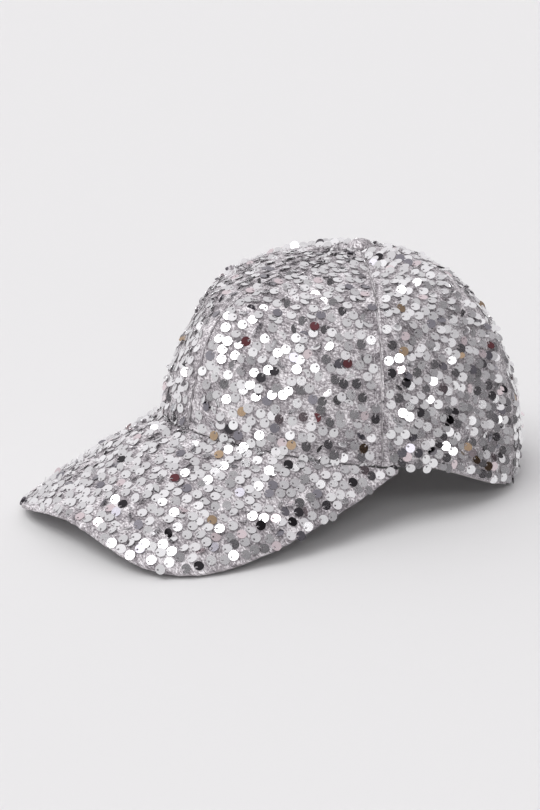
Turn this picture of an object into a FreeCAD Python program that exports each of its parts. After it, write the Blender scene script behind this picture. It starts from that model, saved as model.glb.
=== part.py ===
"""A six-panel sequinned cap with a curved visor and a flip-lever buckle at the back.

Millimetres. The wearer faces -Y, the wearer's left is +X and +Z is up. An azimuth of 0
degrees is the front of the crown and 180 the back, and a positive azimuth is on the wearer's
left. The cap is drawn as it is worn, and the last step sets every piece down on the plane
Z = 0, where the cap stands on its visor's side edges and its back edge.
"""
import FreeCAD, Part
import os
from math import atan2, copysign, cos, degrees, pi, radians, sin, sqrt, tan

Vector = FreeCAD.Vector

doc = FreeCAD.newDocument("SequinCap")
sheet = doc.addObject("Spreadsheet::Sheet", "Sizes")

# ---------------------------------------------------------------- driving dimensions
DIMENSIONS = [
    # the crown's edge, an oval drawn in a little over the forehead
    ("crown_half_length", 100.0),
    ("crown_half_width", 78.6),
    ("crown_taper", 0.11),            # share of its width that the oval loses at the front
    ("crown_height", 123.2),          # to the cloth under the button
    ("button_setback", 15.3),         # how far the button sits behind the oval's centre
    # the rise of the cloth from its edge to the button, in shares of its height or reach:
    # an even part, a part that grows towards the front and one that grows front and back
    ("wall_rise", 0.706),
    ("wall_rise_front", 0.135),
    ("wall_rise_ends", -0.01),
    ("shoulder_reach", 0.808),
    ("shoulder_reach_front", 0.128),
    ("shoulder_reach_ends", -0.045),
    ("shoulder_drop", 0.022),
    ("wall_lean", -0.038),
    ("wall_lean_front", -0.173),
    ("wall_lean_ends", 0.017),
    ("facet_flatness", 0.46),         # 0 is a round crown, 1 has flat panels between seams
    ("front_side_seam", 66.4),        # azimuths of the seams, in degrees
    ("back_side_seam", 120.0),
    # the visor, a sheet bent round an axis that points forwards and down
    ("visor_front_height", 56.3),     # of its top, where it meets the crown's front
    ("visor_pitch", 12.75),            # degrees
    ("visor_arch_radius", 94.4),
    ("visor_droop", 5.6),            # extra fall at its front edge
    ("visor_depth", 70.5),
    ("visor_half_width", 72.1),
    ("visor_squareness", 3.9),        # 2 is an ellipse
    ("visor_corner", 72.7),           # azimuth of its corners, in degrees
    ("visor_end_share", 0.985),       # where its side ends are cut square
    ("visor_tuck", 1.6),              # how far it passes in under the crown's cloth
    ("back_edge_height", 2.3),
    ("back_level_from", 130.8),       # azimuth from which the crown's edge is level
    # cloth and stiffening
    ("velvet_thickness", 1.2),
    ("buckram_thickness", 0.8),
    ("buckram_margin", 9.0),          # from the side seam
    ("tape_width", 16.0),
    ("tape_thickness", 0.6),
    ("band_height", 30.0),
    ("band_thickness", 1.0),
    ("board_thickness", 1.5),
    ("board_margin", 2.6),            # from the visor's outer edge
    ("lining_thickness", 0.8),
    ("ply_gap", 0.1),                 # between plies that lie on each other
    ("seam_gap", 0.1),                # between panels that are sewn edge to edge
    ("edge_gap", 1.0),                # between the visor's top and the panels sewn to it
    ("buckram_tape_gap", 0.3),        # between the front tape and the buckram under it
    ("tape_gap", 0.8),                # between the other tapes and the cloth, bent at the seam
    ("tape_end_gap", 1.5),            # between the back tape's lower end and the facing
    ("band_gap", 0.25),               # between the band and what it lies on
    ("label_gap", 0.25),              # between the label and the band
    # the covered button
    ("button_radius", 6.5),
    ("button_height", 4.2),
    ("button_cloth", 0.7),
    ("button_metal", 0.6),
    ("shank_radius", 1.2),
    ("washer_radius", 7.5),
    ("washer_thickness", 0.8),
    # the opening at the back and its strap
    ("opening_half_width", 40.0),
    ("opening_height", 48.0),         # above the crown's back edge
    ("facing_width", 8.0),
    ("facing_thickness", 0.8),
    ("facing_gap", 0.2),              # between the facing and the panels it lines
    ("strap_height", 20.0),
    ("strap_thickness", 1.2),
    ("strap_lift", 1.5),              # of its lower edge above the crown's edge
    ("strap_tuck", 9.6),              # length sewn in beside the opening
    ("strap_lead", 2.6),              # length at its sewn depth before it meets the opening
    ("strap_depth", 0.3),             # inside the crown's line, where it crosses the opening
    ("tab_ply", 0.9),
    # the buckle
    ("buckle_azimuth", 166.0),
    ("frame_length", 25.0),
    ("frame_wall", 1.3),
    ("frame_plate", 0.8),
    ("frame_rise", 3.5),              # of the ears outside the crown's skin
    ("slot_width", 4.2),
    ("bar_width", 2.4),
    ("pin_radius", 0.8),
    ("pin_setback", 5.2),             # from the buckle's middle, towards the tab
    ("pin_stand", 1.7),               # of the pin's axis outside the crown's skin
    ("lever_thickness", 1.2),
    ("lever_reach", 18.5),            # from the pin to the lever's tip
    ("barrel_radius", 1.9),
    ("running_clearance", 0.05),
    ("side_clearance", 0.4),
    # the sewn-in label
    ("label_width", 14.0),
    ("label_height", 22.0),
    ("label_thickness", 0.3),
]
for row, (alias, value) in enumerate(DIMENSIONS, 1):
    sheet.set(f"A{row}", alias)
    sheet.set(f"B{row}", str(value))
    sheet.setAlias(f"B{row}", alias)
doc.recompute()


def size(alias):
    """The value of a driving dimension."""
    return float(sheet.get(alias))


# ---------------------------------------------------------------- the two skins
LENGTH = size("crown_half_length")
WIDTH = size("crown_half_width")
BACK_PACE = WIDTH * (1 + size("crown_taper"))  # length of the crown's edge per radian, at the back
HEIGHT = size("crown_height")
CORNER = radians(size("visor_corner"))
STEP = 1e-3                           # for slopes taken numerically
HALVINGS = 40                         # of a range that is searched
SEARCHED_RISE = 0.9                   # nothing is looked for nearer to the button


def blend(share):
    """0 to 1 with level ends."""
    share = min(max(share, 0.0), 1.0)
    return share * share * (3 - 2 * share)


def oval(azimuth):
    """The crown's edge seen from above."""
    return (
        WIDTH * sin(azimuth) * (1 - size("crown_taper") * cos(azimuth)),
        -LENGTH * cos(azimuth),
    )


def visor_height(x, y):
    """Top of the visor's sheet."""
    radius = size("visor_arch_radius")
    forward = max(-y - LENGTH, 0) / size("visor_depth")
    return (
        size("visor_front_height")
        + (y + LENGTH) * tan(radians(size("visor_pitch")))
        - (radius - sqrt(radius**2 - x**2))
        - size("visor_droop") * forward**2
    )


def edge_height(azimuth):
    """Height of the crown's edge: on the visor, then down to the level back."""
    azimuth = abs(azimuth)
    if azimuth <= CORNER:
        return visor_height(*oval(azimuth))
    start = visor_height(*oval(CORNER))
    slope = (start - visor_height(*oval(CORNER - STEP))) / STEP
    span = radians(size("back_level_from")) - CORNER
    share = min((azimuth - CORNER) / span, 1.0)
    fall = start + (size("back_edge_height") - start) * blend(share)
    return fall + slope * span * share * (1 - share) ** 2


def rib(azimuth, rise):
    """The round crown: a cubic from the edge (rise 0) to the button (rise 1)."""
    x, y = oval(azimuth)
    z = edge_height(azimuth)
    back = size("button_setback")
    reach = sqrt(x * x + (y - back) ** 2)
    out = Vector(x / reach, (y - back) / reach, 0)
    tall = HEIGHT - z

    def shape(alias):
        return (
            size(alias)
            + size(alias + "_front") * cos(azimuth)
            + size(alias + "_ends") * cos(2 * azimuth)
        )

    top = Vector(0, back, HEIGHT)
    foot = Vector(x, y, z)
    wall = foot + out * shape("wall_lean") * tall + Vector(0, 0, shape("wall_rise") * tall)
    shoulder = top + out * shape("shoulder_reach") * reach
    shoulder.z -= size("shoulder_drop") * tall
    left = 1 - rise
    return foot * left**3 + wall * 3 * left**2 * rise + shoulder * 3 * left * rise**2 + top * rise**3


SEAMS = [0.0, radians(size("front_side_seam")), radians(size("back_side_seam")), pi]
FACET_FROM = 0.05                     # rise at which the flat facets begin,
FACET_FULL = 0.40                     # and where they are complete


def crown_skin(azimuth, rise):
    """The crown with its panels pulled a little flat between the seams."""
    turn = azimuth - 2 * pi if azimuth > pi else azimuth
    side = copysign(1, turn)
    index = max(i for i in range(3) if SEAMS[i] <= abs(turn) + 1e-9)
    low, high = SEAMS[index], SEAMS[index + 1]
    share = (abs(turn) - low) / (high - low)
    chord = rib(side * low, rise) * (1 - share) + rib(side * high, rise) * share
    flat = size("facet_flatness") * blend((rise - FACET_FROM) / (FACET_FULL - FACET_FROM))
    return rib(turn, rise) * (1 - flat) + chord * flat


def crown(azimuth, rise, depth=0.0):
    """A point of the crown, `depth` inside its outer skin."""
    step = -STEP if rise > 0.5 else STEP
    here = rib(azimuth, rise)
    across = rib(azimuth + STEP, rise) - here
    upward = (rib(azimuth, rise + step) - here) * copysign(1, step)
    normal = across.cross(upward).normalize()
    return crown_skin(azimuth, rise) - normal * depth


def rise_at(azimuth, height):
    """The rise that lies `height` above the crown's edge."""
    low, high = 0.0, SEARCHED_RISE
    for _ in range(HALVINGS):
        middle = (low + high) / 2
        if crown_skin(azimuth, middle).z - edge_height(azimuth) < height:
            low = middle
        else:
            high = middle
    return low


def banded(azimuth, height, depth=0.0):
    """A point of the crown given by its height above the edge."""
    return crown(azimuth, rise_at(azimuth, height), depth)


def back_azimuth(x):
    """Where the crown's edge, behind its middle, is `x` from the middle plane."""
    low, high = pi / 2, pi
    for _ in range(HALVINGS):
        middle = (low + high) / 2
        if oval(middle)[0] > x:
            low = middle
        else:
            high = middle
    return low


def visor(across, forward, depth=0.0):
    """A point of the visor: `across` is -1 to 1 and `forward` 0 at the crown, 1 at the edge."""
    inner_x, inner_y = oval(across * CORNER)
    corner_x, corner_y = oval(CORNER)
    turn = across * pi / 2
    power = 2 / size("visor_squareness")
    ahead = abs(cos(turn)) ** power
    half = corner_x + (size("visor_half_width") - corner_x) * sin(pi * min(ahead, 1.0))
    outer_x = copysign(abs(sin(turn)) ** power, across) * half
    outer_y = corner_y - (LENGTH + size("visor_depth") + corner_y) * ahead
    x = inner_x + (outer_x - inner_x) * forward
    y = inner_y + (outer_y - inner_y) * forward
    z = visor_height(x, y)
    slope_x = (visor_height(x + STEP, y) - z) / STEP
    slope_y = (visor_height(x, y + STEP) - z) / STEP
    return Vector(x, y, z) - Vector(-slope_x, -slope_y, 1).normalize() * depth


# ---------------------------------------------------------------- closed pieces of cloth
def spread(low, high, count):
    """`count` values from low to high."""
    return [low + (high - low) * i / (count - 1) for i in range(count)]


def cloth(point, u_range, v_range, near, far, counts):
    """A closed sheet of the skin `point(u, v, depth)`, between the depths near and far.

    A depth is a number, or a function of u where the sheet thickens along its length.
    """
    us, vs = spread(*u_range, counts[0]), spread(*v_range, counts[1])
    skins = []
    for depth in (near, far):
        deep = depth if callable(depth) else lambda u, depth=depth: depth
        skin = Part.BSplineSurface()
        skin.interpolate([[point(u, v, deep(u)) for v in vs] for u in us])
        skins.append(skin)
    faces = [skin.toShape() for skin in skins]
    u_low, u_high, v_low, v_high = skins[0].bounds()
    for cut, values in (("uIso", (u_low, u_high)), ("vIso", (v_low, v_high))):
        for value in values:
            rims = [getattr(skin, cut)(value).toShape() for skin in skins]
            faces.append(Part.makeRuledSurface(*rims))
    shell = Part.Shell(faces)
    shell.sewShape()
    solid = Part.Solid(shell)
    if solid.Volume < 0:
        solid.reverse()
    return solid


subparts = {}


def keep(item, label):
    """Names an object of the document as a sub-part."""
    item.Label = label
    subparts[label] = item
    return item


def cloth_part(label, *shape):
    """A sub-part whose shape is a closed sheet of one of the skins."""
    item = doc.addObject("Part::Feature", label)
    item.Shape = cloth(*shape)
    item.Placement = FreeCAD.Placement()
    return keep(item, label)


def primitive(kind, name, placement=None, **sizes):
    """A Part primitive whose sizes are bound to the sheet."""
    item = doc.addObject("Part::" + kind, name)
    for prop, expression in sizes.items():
        item.setExpression(prop, expression)
    if placement is not None:
        item.Placement = placement
    return item


def joined(name, *shapes):
    """Several solids fused into one."""
    item = doc.addObject("Part::MultiFuse", name)
    item.Shapes = list(shapes)
    return item


def cut(name, base, tool):
    """One solid cut from another."""
    item = doc.addObject("Part::Cut", name)
    item.Base = base
    item.Tool = tool
    return item


def at(x, y, z, turn=None):
    """A placement at a point."""
    return FreeCAD.Placement(Vector(x, y, z), turn or FreeCAD.Rotation())


GAP = size("ply_gap")
VELVET = size("velvet_thickness")
BUCKRAM_IN = VELVET + GAP + size("buckram_thickness")
TAPE = size("tape_thickness")
FRONT_TAPE_OUT = BUCKRAM_IN + size("buckram_tape_gap")
SIDE_TAPE_OUT = VELVET + size("tape_gap")
BAND_OUT = FRONT_TAPE_OUT + TAPE + size("band_gap")
FACING_OUT = VELVET + size("facing_gap")
FACING_IN = FACING_OUT + size("facing_thickness")
STRAP_SEWN = FACING_IN + GAP
STRAP_OUT = size("strap_depth")
STRAP_IN = STRAP_OUT + size("strap_thickness")
TOP_RISE = 0.985                      # the panels end in a small ring under the button

# ---------------------------------------------------------------- the opening at the back
ARCH_LOW = -60.0                      # well below the crown's edge
ARCH_FROM = 20.0                      # the cutters start behind the crown's middle
arch_top = "Sizes.back_edge_height + Sizes.opening_height - Sizes.opening_half_width"
SIDEWAYS = FreeCAD.Rotation(Vector(1, 0, 0), -90)


def arch(name, margin):
    """A cutter with the opening's outline: straight sides under a half round."""
    radius = f"Sizes.opening_half_width + {margin}"
    length = f"Sizes.crown_half_length * 2 - {ARCH_FROM}"
    head = primitive("Cylinder", name + "_head", Radius=radius, Height=length)
    head.Placement = at(0, ARCH_FROM, 0, SIDEWAYS)
    head.setExpression("Placement.Base.z", arch_top)
    legs = primitive("Box", name + "_legs", Length=f"({radius}) * 2", Width=length)
    legs.setExpression("Height", f"{arch_top} - ({ARCH_LOW})")
    legs.Placement = at(0, ARCH_FROM, ARCH_LOW)
    legs.setExpression("Placement.Base.x", f"-({radius})")
    return joined(name, head, legs)


opening = arch("opening_arch", "0")
facing_edge = arch("facing_arch", "Sizes.facing_width")

# ---------------------------------------------------------------- the six panels
half_gap = size("seam_gap") / 2 / WIDTH
PANELS = (("front", 0, 17), ("side", 1, 17), ("back", 2, 15))
panel_foot = rise_at(0.0, size("edge_gap"))
for hand, sign in (("left", 1), ("right", -1)):
    for name, index, count in PANELS:
        span = (sign * (SEAMS[index] + half_gap), sign * (SEAMS[index + 1] - half_gap))
        shape = (crown, span, (panel_foot, TOP_RISE), 0.0, VELVET, (count, 17))
        if name != "back":
            cloth_part(f"crown_panel_{name}_{hand}", *shape)
            continue
        blank = doc.addObject("Part::Feature", f"back_blank_{hand}")
        blank.Shape = cloth(*shape)
        panel = cut(f"back_panel_{hand}", blank, opening)
        keep(panel, f"crown_panel_back_{hand}")

# ---------------------------------------------------------------- behind the front panels
BUCKRAM_RISE = (0.01, 0.80)


def ring_radius(azimuth, rise):
    """How far the crown is from the button's axis."""
    point = crown_skin(azimuth, rise)
    return sqrt(point.x**2 + (point.y - size("button_setback")) ** 2)


def buckram_skin(side):
    """The crown behind one front panel: across is 0 at the front seam and 1 at the margin."""

    def point(across, rise, depth):
        margin = size("buckram_margin") / ring_radius(side * SEAMS[1], rise)
        middle = size("seam_gap") / WIDTH
        azimuth = middle + (SEAMS[1] - margin - middle) * across
        return crown(side * azimuth, rise, depth)

    return point


for hand, sign in (("left", 1), ("right", -1)):
    cloth_part(f"front_buckram_{hand}", buckram_skin(sign), (0.0, 1.0), BUCKRAM_RISE,
               VELVET + GAP, BUCKRAM_IN, (13, 15))

# ---------------------------------------------------------------- tapes over the seams
TAPE_TOP = 0.965
WEDGE = radians(27)                   # near the button a tape narrows to a sixth of the ring


def tape_skin(seam):
    """The crown beside one seam: across is in millimetres from it."""

    def point(across, rise, depth):
        half = size("tape_width") / 2
        widest = 1 / sqrt((ring_radius(seam, rise) / half) ** 2 + (1 / WEDGE) ** 2)
        return crown(seam + widest * across / half, rise, depth)

    return point


TAPE_FOOT = 0.01
facing_reach = size("opening_height") + size("facing_width")
above_facing = rise_at(pi, facing_reach + size("tape_end_gap"))
TAPES = [
    ("front", SEAMS[0], FRONT_TAPE_OUT, TAPE_FOOT),
    ("front_left", SEAMS[1], SIDE_TAPE_OUT, TAPE_FOOT),
    ("front_right", -SEAMS[1], SIDE_TAPE_OUT, TAPE_FOOT),
    ("back_left", SEAMS[2], SIDE_TAPE_OUT, TAPE_FOOT),
    ("back_right", -SEAMS[2], SIDE_TAPE_OUT, TAPE_FOOT),
    ("back", pi, SIDE_TAPE_OUT, above_facing),
]
half_tape = size("tape_width") / 2
for name, seam, depth, low in TAPES:
    cloth_part(f"seam_tape_{name}", tape_skin(seam), (-half_tape, half_tape), (low, TAPE_TOP),
               depth, depth + TAPE, (7, 21))

# ---------------------------------------------------------------- sweatband and facing
opening_edge = back_azimuth(size("opening_half_width"))
sewn = opening_edge - size("strap_tuck") / BACK_PACE
BAND_LIFT = 0.6                       # the band's fold is just inside the crown's edge
band_ends_out = STRAP_SEWN + 2 * size("tab_ply") + size("band_gap")


def band_depth(azimuth):
    """The band lies on the tapes, and its ends on the strap's and the tab's sewn ends."""
    share = blend((abs(azimuth) - sewn) / (opening_edge - sewn) + 1)
    return BAND_OUT + (band_ends_out - BAND_OUT) * share


def band_inside(azimuth):
    """The side of the band that touches the head."""
    return band_depth(azimuth) + size("band_thickness")


cloth_part("sweatband", banded, (-opening_edge, opening_edge), (BAND_LIFT, size("band_height")),
           band_depth, band_inside, (61, 5))

FACING_BLANK = 1.5 * size("facing_width")  # the blank is this much larger than the opening
facing_side = back_azimuth(size("opening_half_width") + FACING_BLANK)
facing_top = rise_at(pi, size("opening_height") + FACING_BLANK)
facing_blank = doc.addObject("Part::Feature", "facing_blank")
facing_blank.Shape = cloth(crown, (facing_side, 2 * pi - facing_side), (0.0, facing_top),
                           FACING_OUT, FACING_IN, (33, 13))
facing_ring = doc.addObject("Part::Common", "facing_ring")
facing_ring.Base = facing_blank
facing_ring.Tool = facing_edge
keep(cut("facing", facing_ring, opening), "opening_facing")

# ---------------------------------------------------------------- the visor
VISOR_COUNTS = (41, 7)
end = size("visor_end_share")
reach = size("visor_depth")
tuck = -size("visor_tuck") / reach
board_edge = 1 - size("board_margin") / reach
board_in = VELVET + size("board_thickness")
cloth_part("visor_top_cover", visor, (-end, end), (tuck, 1.0), 0.0, VELVET, VISOR_COUNTS)
cloth_part("visor_board", visor, (-end, end), (tuck, board_edge), VELVET, board_in, VISOR_COUNTS)
cloth_part("visor_under_cover", visor, (-end, end), (tuck, 1.0), board_in,
           board_in + size("lining_thickness"), VISOR_COUNTS)
cloth_part("visor_seam_allowance", visor, (-end, end), (board_edge + 2 * GAP / reach, 1.0),
           VELVET + GAP, board_in - GAP, (41, 3))

# ---------------------------------------------------------------- the covered button
seat = at(0, size("button_setback"), HEIGHT)


def dome(name, radius, height):
    """Half an ellipsoid on the crown's top."""
    item = primitive("Ellipsoid", name, Radius1=height, Radius2=radius, Radius3=radius)
    item.Angle1 = 0
    item.Placement = seat
    return item


cloth_dome = dome("cover_outside", "Sizes.button_radius", "Sizes.button_height")
metal = ("Sizes.button_radius - Sizes.button_cloth", "Sizes.button_height - Sizes.button_cloth")
cloth_hollow = dome("cover_inside", *metal)
keep(cut("cover", cloth_dome, cloth_hollow), "button_cover")
metal_dome = dome("shell_outside", *metal)
metal_hollow = dome("shell_inside", *[value + " - Sizes.button_metal" for value in metal])
metal_cup = cut("shell_cup", metal_dome, metal_hollow)
WASHER_ROOM = 1.0                     # the seams are bulky under the button
washer_under = FRONT_TAPE_OUT + TAPE + WASHER_ROOM
washer_foot = HEIGHT - washer_under - size("washer_thickness")
metal_top = HEIGHT + size("button_height") - size("button_cloth") - size("button_metal") / 2
shank = primitive("Cylinder", "shank", Radius="Sizes.shank_radius")
shank.Height = metal_top - washer_foot
shank.Placement = at(0, size("button_setback"), washer_foot)
keep(joined("shell", metal_cup, shank), "button_shell")
plate = primitive("Cylinder", "washer_plate", Radius="Sizes.washer_radius",
                  Height="Sizes.washer_thickness")
plate.Placement = at(0, size("button_setback"), washer_foot)
shank_hole = primitive("Cylinder", "washer_hole", Radius="Sizes.shank_radius",
                       Height="Sizes.washer_thickness * 3")
shank_hole.Placement = at(0, size("button_setback"), washer_foot - size("washer_thickness"))
keep(cut("washer", plate, shank_hole), "button_washer")

# ---------------------------------------------------------------- the buckle's own axes
buckle_turn = radians(size("buckle_azimuth"))
middle_height = size("strap_lift") + size("strap_height") / 2
middle_rise = rise_at(buckle_turn, middle_height)
origin = crown(buckle_turn, middle_rise)
outward = (crown(buckle_turn, middle_rise, -1.0) - origin).normalize()
ahead = crown(buckle_turn + STEP, middle_rise) - origin
along = (ahead - outward * ahead.dot(outward)).normalize()
hinge_axis = along.cross(outward)
buckle_frame_turn = FreeCAD.Rotation(along, outward, hinge_axis, "XYZ")
BUCKLE = FreeCAD.Placement(origin, buckle_frame_turn)


def in_buckle(x, y, z, turn=None):
    """A placement in the buckle's axes: x along the strap, y outward, z down the hinge."""
    return BUCKLE.multiply(at(x, y, z, turn))


frame_half = size("frame_length") / 2
BENT = 85.4                           # radius that the strap is bent to behind the flat buckle
buckle_sag = (frame_half**2 + (size("strap_height") / 2) ** 2) / (2 * BENT)
plate_out = STRAP_IN + buckle_sag
plate_in = plate_out + size("frame_plate")
ear_gap = size("strap_height") + 2 * size("side_clearance")
frame_tall = ear_gap + 2 * size("frame_wall")
deep = plate_in + size("frame_rise")


def block(name, x, y, z, length, width, height):
    """A box in the buckle's axes."""
    item = doc.addObject("Part::Box", name)
    item.Length, item.Width, item.Height = length, width, height
    item.Placement = in_buckle(x, y, z)
    return item


channel = block("frame_block", -frame_half, -plate_in, -frame_tall / 2,
                2 * frame_half, deep, frame_tall)
trough = block("frame_trough", -frame_half - 1, -plate_out, -ear_gap / 2,
               2 * frame_half + 2, deep, ear_gap)
slot = block("frame_slot", -frame_half + size("bar_width"), -plate_in - 1, -ear_gap / 2,
             size("slot_width"), deep, ear_gap)
pin_hole = primitive("Cylinder", "frame_pin_hole", Radius="Sizes.pin_radius")
pin_hole.Height = frame_tall + 2
pin_hole.Placement = in_buckle(-size("pin_setback"), size("pin_stand"), -frame_tall / 2 - 1)
keep(cut("frame", channel, joined("frame_cuts", trough, slot, pin_hole)), "buckle_frame")

pin = primitive("Cylinder", "pin", Radius="Sizes.pin_radius")
pin.Height = frame_tall
pin.Placement = in_buckle(-size("pin_setback"), size("pin_stand"), -frame_tall / 2)
keep(pin, "buckle_pin")

# the lever: a barrel on the pin, a flat plate and a raised lip to pull it by
lever_tall = size("strap_height")
barrel = primitive("Cylinder", "lever_barrel", Radius="Sizes.barrel_radius",
                   Height="Sizes.strap_height")
barrel.Placement = in_buckle(-size("pin_setback"), size("pin_stand"), -lever_tall / 2)
lever_top = size("pin_stand") + size("barrel_radius")
flat = block("lever_plate", -size("pin_setback"), lever_top - size("lever_thickness"),
             -lever_tall / 2, size("lever_reach"), size("lever_thickness"), lever_tall)
LIP = 2.4                             # the lip's diameter
LIP_RAISED = 0.5                      # above the lever's plate
lip_x = size("lever_reach") - size("pin_setback") - LIP / 2
lip = primitive("Cylinder", "lever_lip", Height="Sizes.strap_height")
lip.Radius = LIP / 2
lip.Placement = in_buckle(lip_x, lever_top - LIP / 2 + LIP_RAISED, -lever_tall / 2)
bore = primitive("Cylinder", "lever_bore", Radius="Sizes.pin_radius + Sizes.running_clearance")
bore.Height = frame_tall + 2
bore.Placement = in_buckle(-size("pin_setback"), size("pin_stand"), -frame_tall / 2 - 1)
lever_solid = joined("lever_solid", barrel, flat, lip)
keep(cut("lever", lever_solid, bore), "buckle_lever")

# ---------------------------------------------------------------- strap and tab
strap_low = size("strap_lift")
strap_high = strap_low + size("strap_height")
PIN_CLEAR = 1.54                      # the strap stops short of the pin
pin_azimuth = buckle_turn - (size("pin_setback") - PIN_CLEAR) / BACK_PACE
OUT_AGAIN = 0.12                      # azimuth over which the sewn ends come out to the skin


lead_from = 2 * pi - opening_edge - size("strap_lead") / BACK_PACE - OUT_AGAIN


def strap_depth(azimuth):
    """The strap's outer face: sewn in on the wearer's right, then level with the crown."""
    share = blend((azimuth - lead_from) / OUT_AGAIN)
    return STRAP_OUT + (STRAP_SEWN - STRAP_OUT) * share


def strap_inside(azimuth):
    """The strap's inner face."""
    return strap_depth(azimuth) + size("strap_thickness")


cloth_part("strap", banded, (pin_azimuth, 2 * pi - sewn), (strap_low, strap_high),
           strap_depth, strap_inside, (61, 5))

SLOT_INNER = 1.0                      # the tab passes the slot this far inside its middle
bar_x = frame_half - size("bar_width") - size("slot_width") / 2 - SLOT_INNER
bar_azimuth = buckle_turn - bar_x / BACK_PACE
loop_out = plate_out - GAP - size("tab_ply")
loop_in = plate_in + GAP + size("tab_ply")


LOOP_OPENS = 0.8                      # share of the way to the bar where the loop is open
TAB_INSET = 0.5                       # of the tab's long edges from the strap's


def tab_depth(flat_depth, loop_depth):
    """The tab lies flat under the panel and opens into a loop round the frame's bar."""
    start, stop = opening_edge, opening_edge + (bar_azimuth - opening_edge) * LOOP_OPENS

    def depth(azimuth):
        share = blend((azimuth - start) / (stop - start))
        return flat_depth + (loop_depth - flat_depth) * share

    return depth


tab_blank = doc.addObject("Part::Feature", "tab_blank")
tab_span = (strap_low + TAB_INSET, strap_high - TAB_INSET)
tab_blank.Shape = cloth(banded, (sewn, bar_azimuth), tab_span,
                        tab_depth(STRAP_SEWN, loop_out),
                        tab_depth(STRAP_SEWN + 2 * size("tab_ply"), loop_in), (21, 5))
bar_room = block("tab_bar_room", -frame_half - GAP, -plate_in - GAP, -frame_tall,
                 size("bar_width") + 2 * GAP, size("frame_plate") + 2 * GAP, 2 * frame_tall)
keep(cut("tab", tab_blank, bar_room), "buckle_tab")

# ---------------------------------------------------------------- the label
label_from = opening_edge - (size("strap_tuck") + size("label_width")) / BACK_PACE
label_to = label_from + size("label_width") / BACK_PACE
label_low = size("band_height") / 2


def label_depth(azimuth):
    """The label hangs on the band."""
    return band_inside(azimuth) + size("label_gap")


def label_inside(azimuth):
    """The label's face."""
    return label_depth(azimuth) + size("label_thickness")


cloth_part("care_label", banded, (label_from, label_to), (label_low, label_low + size("label_height")),
           label_depth, label_inside, (5, 5))

# ---------------------------------------------------------------- set down on the ground
doc.recompute()


def lower(points):
    """The lowest of some points."""
    return min(points, key=lambda point: point.z)


def set_down():
    """The turn about X that brings the visor's underside and the back edge to one height."""
    under = board_in + size("lining_thickness")
    tips = [visor(across, 1.0, under) for across in spread(-end, end, 81)]
    heels = [crown(azimuth, panel_foot) for azimuth in spread(2 * pi / 3, pi, 31)]
    turn = FreeCAD.Rotation()
    for _ in range(6):
        tip = lower([turn.multVec(point) for point in tips])
        heel = lower([turn.multVec(point) for point in heels])
        tilt = degrees(atan2(tip.z - heel.z, heel.y - tip.y))
        turn = FreeCAD.Rotation(Vector(1, 0, 0), tilt).multiply(turn)
    return turn


turn = set_down()
for item in subparts.values():
    item.Placement = FreeCAD.Placement(Vector(), turn).multiply(item.Placement)
doc.recompute()
whole = Part.makeCompound([item.Shape for item in subparts.values()]).optimalBoundingBox()
shift = Vector(0, -whole.Center.y, -whole.ZMin)
rest = FreeCAD.Placement(shift, turn)
for item in subparts.values():
    item.Placement = FreeCAD.Placement(shift, FreeCAD.Rotation()).multiply(item.Placement)

# ---------------------------------------------------------------- check and write
doc.recompute()
for item in doc.Objects:
    if "Invalid" in item.State or "Error" in item.State:
        raise RuntimeError(f"{item.Label} failed: {item.State}")
os.makedirs("parts", exist_ok=True)
for label, item in subparts.items():
    shape = item.Shape
    if shape.isNull() or not shape.isValid() or not shape.Solids:
        raise RuntimeError(f"{label} is not a valid solid")
    shape.exportStep(f"parts/{label}.step")
    box = shape.BoundBox
    print(f"{label}: {len(shape.Solids)} solid, {shape.Volume / 1000:.2f} cm3,"
          f" z {box.ZMin:.1f} to {box.ZMax:.1f}")


def report(name, point):
    """Prints a point where the finished cap has it."""
    print(name, [round(value, 3) for value in rest.multVec(point)])


print("tilt", round(degrees(turn.Angle), 3), "shift", [round(value, 3) for value in shift])
report("hinge point", in_buckle(-size("pin_setback"), size("pin_stand"), 0).Base)
print("hinge axis", [round(value, 5) for value in turn.multVec(hinge_axis)])
report("head opening", Vector(0, 0, edge_height(pi / 2)))
report("crown back edge", crown(pi, 0.0))
report("crown front edge", crown(0.0, 0.0))
report("visor front", visor(0.0, 1.0))
report("button top", Vector(0, size("button_setback"), HEIGHT + size("button_height")))
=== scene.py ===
# %% [markdown]
# # A silver sequinned cap
# The cap has six crown panels of crushed velvet, a curved visor, a covered button and a strap
# with a flip-lever buckle. About 2500 loose sequins are sewn on, each by one edge.
# The shapes already exist as a plain, exact model. Here it is loaded as a frame that never
# moves, and every soft piece is rebuilt over it with real cloth detail.

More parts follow.
